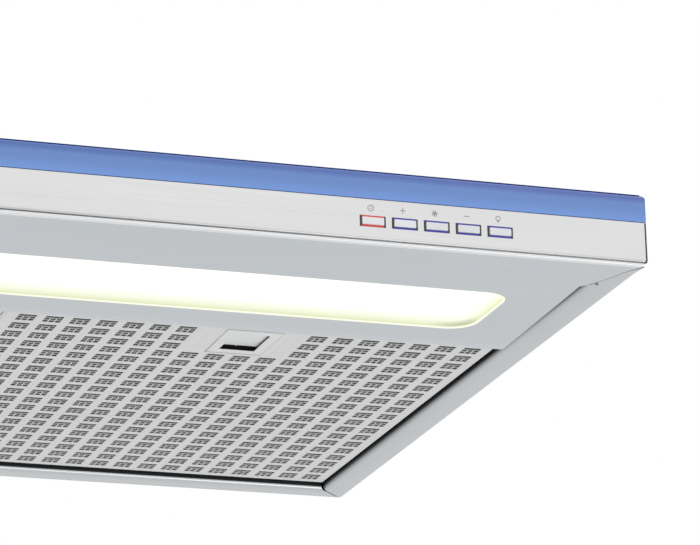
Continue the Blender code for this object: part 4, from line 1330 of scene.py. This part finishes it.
@dataclass
class GreaseFilter:
    """One filter cassette: punched tray, mesh pack, and the latch with its slider.

    Attributes:
        hand: the side that it is on.
        steel: finish of the tray.
        bezel: finish of the latch's bezel.
        plate: finish of the latch's slider.
        mesh: finish of the mesh pack.
        pitch: spacing of the clusters of holes along X and Y.
        count: clusters along X and Y.
        unit: spacing of the holes in a cluster.
        holes: holes along each side of a cluster.
        web: half of the metal between two holes.
        fold: radius of the tray's folds.
        brim: width of the plain brim at the rear.
        sheet: thickness of the tray.
        grid_front: depth of the plain metal in front of the first clusters.
        grid_shift: shift of the clusters away from the middle.
        tab_reach: offset of the hanging tabs from the tray's middle.
        tab_half: half width of a hanging tab.
        field_columns: columns of clusters left out round the latch, first and last.
        field_rows: rows of clusters left out round the latch.
    """

    hand: Hand
    steel: bpy.types.Material
    bezel: bpy.types.Material
    plate: bpy.types.Material
    mesh: bpy.types.Material
    pitch: tuple[float, float] = (14.7 * MM, 14.97 * MM)
    count: tuple[int, int] = (18, 19)
    unit: tuple[float, float] = (3.46 * MM, 3.66 * MM)
    holes: int = 3
    web: float = 0.29 * MM
    fold: float = 1.6 * MM
    brim: float = 4.0 * MM
    sheet: float = 0.5 * MM
    grid_front: float = 4.4 * MM
    grid_shift: float = 0.8 * MM
    tab_reach: float = 90 * MM
    tab_half: float = 12 * MM
    field_columns: tuple[int, int] = (7, 11)
    field_rows: int = 3

    def build(self) -> None:
        """Model and dress the cassette."""
        self._tray()
        self._latch()
        refine(f"filter_mesh_{self.hand.word}", self.mesh, 0)
        spring = BrushedSteel("latch_spring_steel", (0.5, 0.5, 0.52), 0.28, Grain.NONE).make()
        refine(f"latch_spring_{self.hand.word}", spring, 0)

    def _cluster(self, low: Vector, corner: Spot) -> Bench:
        """One cluster of small square holes, with the plain metal round it.

        Args:
            low: low corner of the tray.
            corner: low corner of the cluster's field.

        Returns:
            The bench that holds the cluster.
        """
        size = (self.unit[0] * self.holes, self.unit[1] * self.holes)
        start = (corner[0] + (self.pitch[0] - size[0]) / 2, corner[1] + (self.pitch[1] - size[1]) / 2)
        shape = Bench(f"punched_tray_{self.hand.word}")
        shape.plate((*start, low.z), (start[0] + self.unit[0], start[1] + self.unit[1], low.z))
        shape.all().inset(self.web).delete("FACE")
        for axis in (0, 1):
            step = [0.0, 0.0, 0.0]
            step[axis] = self.unit[axis]
            shape.modify("ARRAY", count=self.holes, use_relative_offset=False, use_constant_offset=True,
                         constant_offset_displace=step, use_merge_vertices=True, merge_threshold=1e-6)
        bpy.ops.object.mode_set(mode="EDIT")
        end = (start[0] + size[0], start[1] + size[1])
        shape.pick("FACE", lambda place: start[0] + 2 * self.web < place.x < end[0] - 2 * self.web
                   and start[1] + self.web < place.y < start[1] + self.unit[1] - self.web).delete("FACE")

        def on_edge(place: Vector) -> bool:
            """Whether a point is on the outline of the holes."""
            return any(near(place[axis], side[axis]) for axis in (0, 1) for side in (start, end))

        shape.pick("EDGE", on_edge).extrude()
        middle = (start[0] + size[0] / 2, start[1] + size[1] / 2, low.z)
        scale = (self.pitch[0] / size[0], self.pitch[1] / size[1], 1.0)
        bpy.ops.transform.resize(value=scale, center_override=middle)
        return shape

    def _tray(self) -> None:
        """Punched tray with rounded folds, a plain field round the latch and hanging tabs."""
        node = f"filter_tray_{self.hand.word}"
        low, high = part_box(node)
        mesh_low, mesh_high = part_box(f"filter_mesh_{self.hand.word}")
        rear = mesh_high.y + 1.2 * MM
        middle = (low.x + high.x) / 2
        span = (self.pitch[0] * self.count[0], self.pitch[1] * self.count[1])
        grid_low = (middle - span[0] / 2 + self.grid_shift * self.hand.value, low.y + self.grid_front)
        shape = self._cluster(low, grid_low)
        for axis in (0, 1):
            step = [0.0, 0.0, 0.0]
            step[axis] = self.pitch[axis]
            shape.modify("ARRAY", count=self.count[axis], use_relative_offset=False, use_constant_offset=True,
                         constant_offset_displace=step, use_merge_vertices=True, merge_threshold=1e-6)
        bpy.ops.object.mode_set(mode="EDIT")
        outline = [grid_low[0], grid_low[0] + span[0], grid_low[1], grid_low[1] + span[1]]
        first = list(outline)
        shape.pick("EDGE", lambda place: near(place.x, first[0]) or near(place.x, first[1]) or
                   near(place.y, first[2]) or near(place.y, first[3]))
        quarter = self.fold * (1 - math.sqrt(0.5))
        steps = ((self.fold, self.brim, 0.0), (self.fold, self.fold, 0.28 * self.fold),
                 (quarter, quarter, 0.5 * self.fold), (0.0, 0.0, 1.2 * self.fold), (0.0, 0.0, high.z - low.z))
        for inset, behind, rise in steps:
            target = [low.x + inset, high.x - inset, low.y + inset, rear - behind]
            shape.extrude().snap(lambda place: self._to(place, outline, target, low.z + rise))
            outline = target
        self._latch_field(shape, first)
        shape.facing((0, 0, -1)).wall(self.sheet)
        tabs = []
        for centre in (middle - self.tab_reach, middle + self.tab_reach):
            tab = Bench("tab").box((centre - self.tab_half, rear - 0.4 * MM, high.z - 2 * MM),
                                   (centre + self.tab_half, high.y, high.z - 0.8 * MM))
            tab.pick("EDGE", lambda place: near(place.y, high.y)).round(0.4 * MM, 3)
            tabs.append(tab)
        shape.join(tabs)
        shape.dress(self.steel, slot_of(node), body_of(node), [node])

    @staticmethod
    def _to(place: Vector, old: Sequence[float], new: Sequence[float], height: float) -> Sequence[float]:
        """Take a point of one rectangle's edge to the same side of another.

        Args:
            place: the point.
            old: low and high X, low and high Y of the first rectangle.
            new: the same of the second.
            height: height of the second.

        Returns:
            The point's new place.
        """
        x, y = place.x, place.y
        x = new[0] if near(x, old[0]) else new[1] if near(x, old[1]) else x
        y = new[2] if near(y, old[2]) else new[3] if near(y, old[3]) else y
        return (x, y, height)

    def _latch_field(self, shape: Bench, grid: Sequence[float]) -> None:
        """Leave the holes out round the latch, and cut its opening and the bolt's notch.

        Args:
            shape: the bench that holds the tray.
            grid: low and high X, low and high Y of all the clusters.
        """
        left, right = (grid[0] + column * self.pitch[0] for column in self.field_columns)
        back = grid[2] + self.field_rows * self.pitch[1]
        shape.pick("FACE", lambda place: left < place.x < right and grid[2] < place.y < back).delete("FACE")

        def rim(place: Vector) -> bool:
            """Whether a point is on the outline of the plain field."""
            across = left - TINY < place.x < right + TINY
            along = grid[2] - TINY < place.y < back + TINY
            on_side = near(place.x, left) or near(place.x, right)
            return across and along and (on_side or near(place.y, grid[2]) or near(place.y, back))

        latch_low, latch_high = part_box(f"latch_housing_{self.hand.word}")
        gap = 0.3 * MM
        shape.pick("EDGE", rim).extrude().snap(lambda place: (
            min(max(place.x, latch_low.x - gap), latch_high.x + gap),
            min(max(place.y, latch_low.y - gap), latch_high.y + 5 * gap), place.z))
        bpy.ops.mesh.remove_doubles(threshold=1e-6)
        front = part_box(f"filter_tray_{self.hand.word}")[0]
        shape.pick("FACE", lambda place: near(place.y, front.y) and place.z > front.z + 2 * MM
                   and abs(place.x - (latch_low.x + latch_high.x) / 2) < 7.4 * MM).delete("FACE")

    def _latch(self) -> None:
        """Bezel with its window and dark pocket, and the slider in it."""
        refine(f"latch_housing_{self.hand.word}", self.bezel, 0.22 * MM)
        refine(f"latch_slider_{self.hand.word}", self.plate, 0.3 * MM, 3)


@dataclass
class Blower:
    """Scroll housing, inlet, impeller, motor, duct collar with its flaps, and the mains box."""

    def build(self) -> None:
        """Dress the pieces of the air path and the mains side."""
        zinc = Galvanised().make()
        for node in ("blower_housing", "blower_base", "inlet_ring", "power_box"):
            refine(node, zinc, 0.25 * MM)
        refine("motor", Galvanised("motor_shell", (0.42, 0.43, 0.45)).make(), 0.3 * MM)
        black = Moulding("impeller_black", (0.045, 0.045, 0.05), 0.42).make()
        refine("impeller", black, 0)
        bright = BrushedSteel("bright_steel", (0.62, 0.62, 0.64), 0.25, Grain.NONE).make()
        screws = [f"motor_screw_{number}" for number in (1, 2, 3)]
        for node in ("motor_shaft", "impeller_nut", "damper_pin", *screws):
            refine(node, bright, 0.15 * MM)
        grey = Moulding("duct_grey", (0.42, 0.43, 0.44), 0.5).make()
        for node in ("duct_collar", "damper_flap_front", "damper_flap_rear"):
            refine(node, grey, 0.15 * MM)
        board = Moulding("mains_board_green", (0.03, 0.15, 0.07), 0.4).make()
        refine("power_board", board, 0.2 * MM)
        refine("terminal_block", Moulding("terminal_white", (0.75, 0.75, 0.72), 0.4).make(), 0.4 * MM)
        can = BrushedSteel("capacitor_can", (0.7, 0.71, 0.72), 0.35, Grain.NONE).make()
        refine("capacitor", can, 0.3 * MM)


@dataclass
class Studio:
    """White surroundings, a pale floor far below, a soft light and the camera.

    Attributes:
        yaw: the camera's turn to the right, in degrees.
        pitch: its tilt upwards, in degrees.
        roll: its roll, in degrees.
        lens: its focal length, in millimetres.
        stand: its place.
        floor: height of the floor.
        floor_reach: how far the floor goes each way.
    """

    yaw: float = 19.75
    pitch: float = 17.767
    roll: float = -1.593
    lens: float = 222.35
    stand: Spot = (-0.5545, -2.2289, -0.7739)
    floor: float = -7.5
    floor_reach: float = 60.0

    def build(self) -> None:
        """Set up the floor, the world, the lights and the camera."""
        self._floor()
        self._world()
        self._soft_light("low_soft", (1.6, -1.6, -2.5), (0.1, -0.2, -0.1), 1.6, 12.0)
        self._camera()

    def _floor(self) -> None:
        """Plain pale floor, well below the hood."""
        reach = self.floor_reach
        bench = Bench("floor").plate((-reach, -reach, self.floor), (reach, reach, self.floor))
        bench.rest()
        graph = Graph("floor_paint")
        cloud = graph.noise((0.4, 0.4, 0.4), 2.0)
        tone = graph.mix(cloud, (0.66, 0.67, 0.685), (0.69, 0.70, 0.71))
        bench.piece.data.materials.append(graph.surface(Base_Color=tone, Roughness=0.8))

    def _world(self) -> None:
        """Even white surroundings."""
        world = bpy.data.worlds.new("surroundings")
        world.use_nodes = True
        world.node_tree.nodes["Background"].inputs["Color"].default_value = (1.0, 1.0, 1.0, 1.0)
        bpy.context.scene.world = world

    def _soft_light(self, name: str, place: Spot, target: Spot, size: float, power: float) -> None:
        """Add a square soft light.

        Args:
            name: its name.
            place: where it hangs.
            target: the point that it is turned to.
            size: its side.
            power: its power in watts.
        """
        lamp = bpy.data.lights.new(name, "AREA")
        lamp.size = size
        lamp.energy = power
        light = bpy.data.objects.new(name, lamp)
        bpy.context.scene.collection.objects.link(light)
        light.location = place
        light.rotation_euler = (Vector(target) - Vector(place)).to_track_quat("-Z", "Y").to_euler()

    def _camera(self) -> None:
        """Camera below the front edge, looking up to the right."""
        camera = bpy.data.cameras.new("camera")
        camera.lens = self.lens
        camera.clip_end = 200.0
        stand = bpy.data.objects.new("camera", camera)
        bpy.context.scene.collection.objects.link(stand)
        turn = (Matrix.Rotation(math.radians(-self.yaw), 4, "Z")
                @ Matrix.Rotation(math.radians(90 + self.pitch), 4, "X")
                @ Matrix.Rotation(math.radians(self.roll), 4, "Z"))
        stand.matrix_world = Matrix.Translation(self.stand) @ turn
        bpy.context.scene.camera = stand
        bpy.context.scene.view_settings.view_transform = "Standard"


def main() -> None:
    """Build every sub-assembly in order."""
    logging.basicConfig(level=logging.INFO, format="%(message)s")
    Studio().build()
    Casing().build()
    FrontTrim().build()
    Controls().build()
    Lamp().build()
    # Painted shade darkens the tray's walls, the bezel's upper edge and the slider's upper edge above the
    # given heights.
    punched = BrushedSteel("punched_steel", (0.89, 0.885, 0.87), 0.42, Grain.ALONG_Y, metallic=0.85,
                           film=(3.1 * MM, 3.6 * MM)).make()
    bezel = BrushedSteel("bezel_steel", (0.93, 0.925, 0.91), 0.4, metallic=0.8,
                         film=(2.15 * MM, 2.4 * MM)).make()
    plate = BrushedSteel("slider_steel", (0.93, 0.93, 0.92), 0.4, metallic=0.8,
                         film=(3.6 * MM, 3.9 * MM)).make()
    mesh = WovenMesh().make()
    for hand in Hand:
        GreaseFilter(hand, punched, bezel, plate, mesh).build()
    refine("filter_divider", punched, 0.3 * MM)
    Blower().build()


if __name__ == "__main__":
    main()
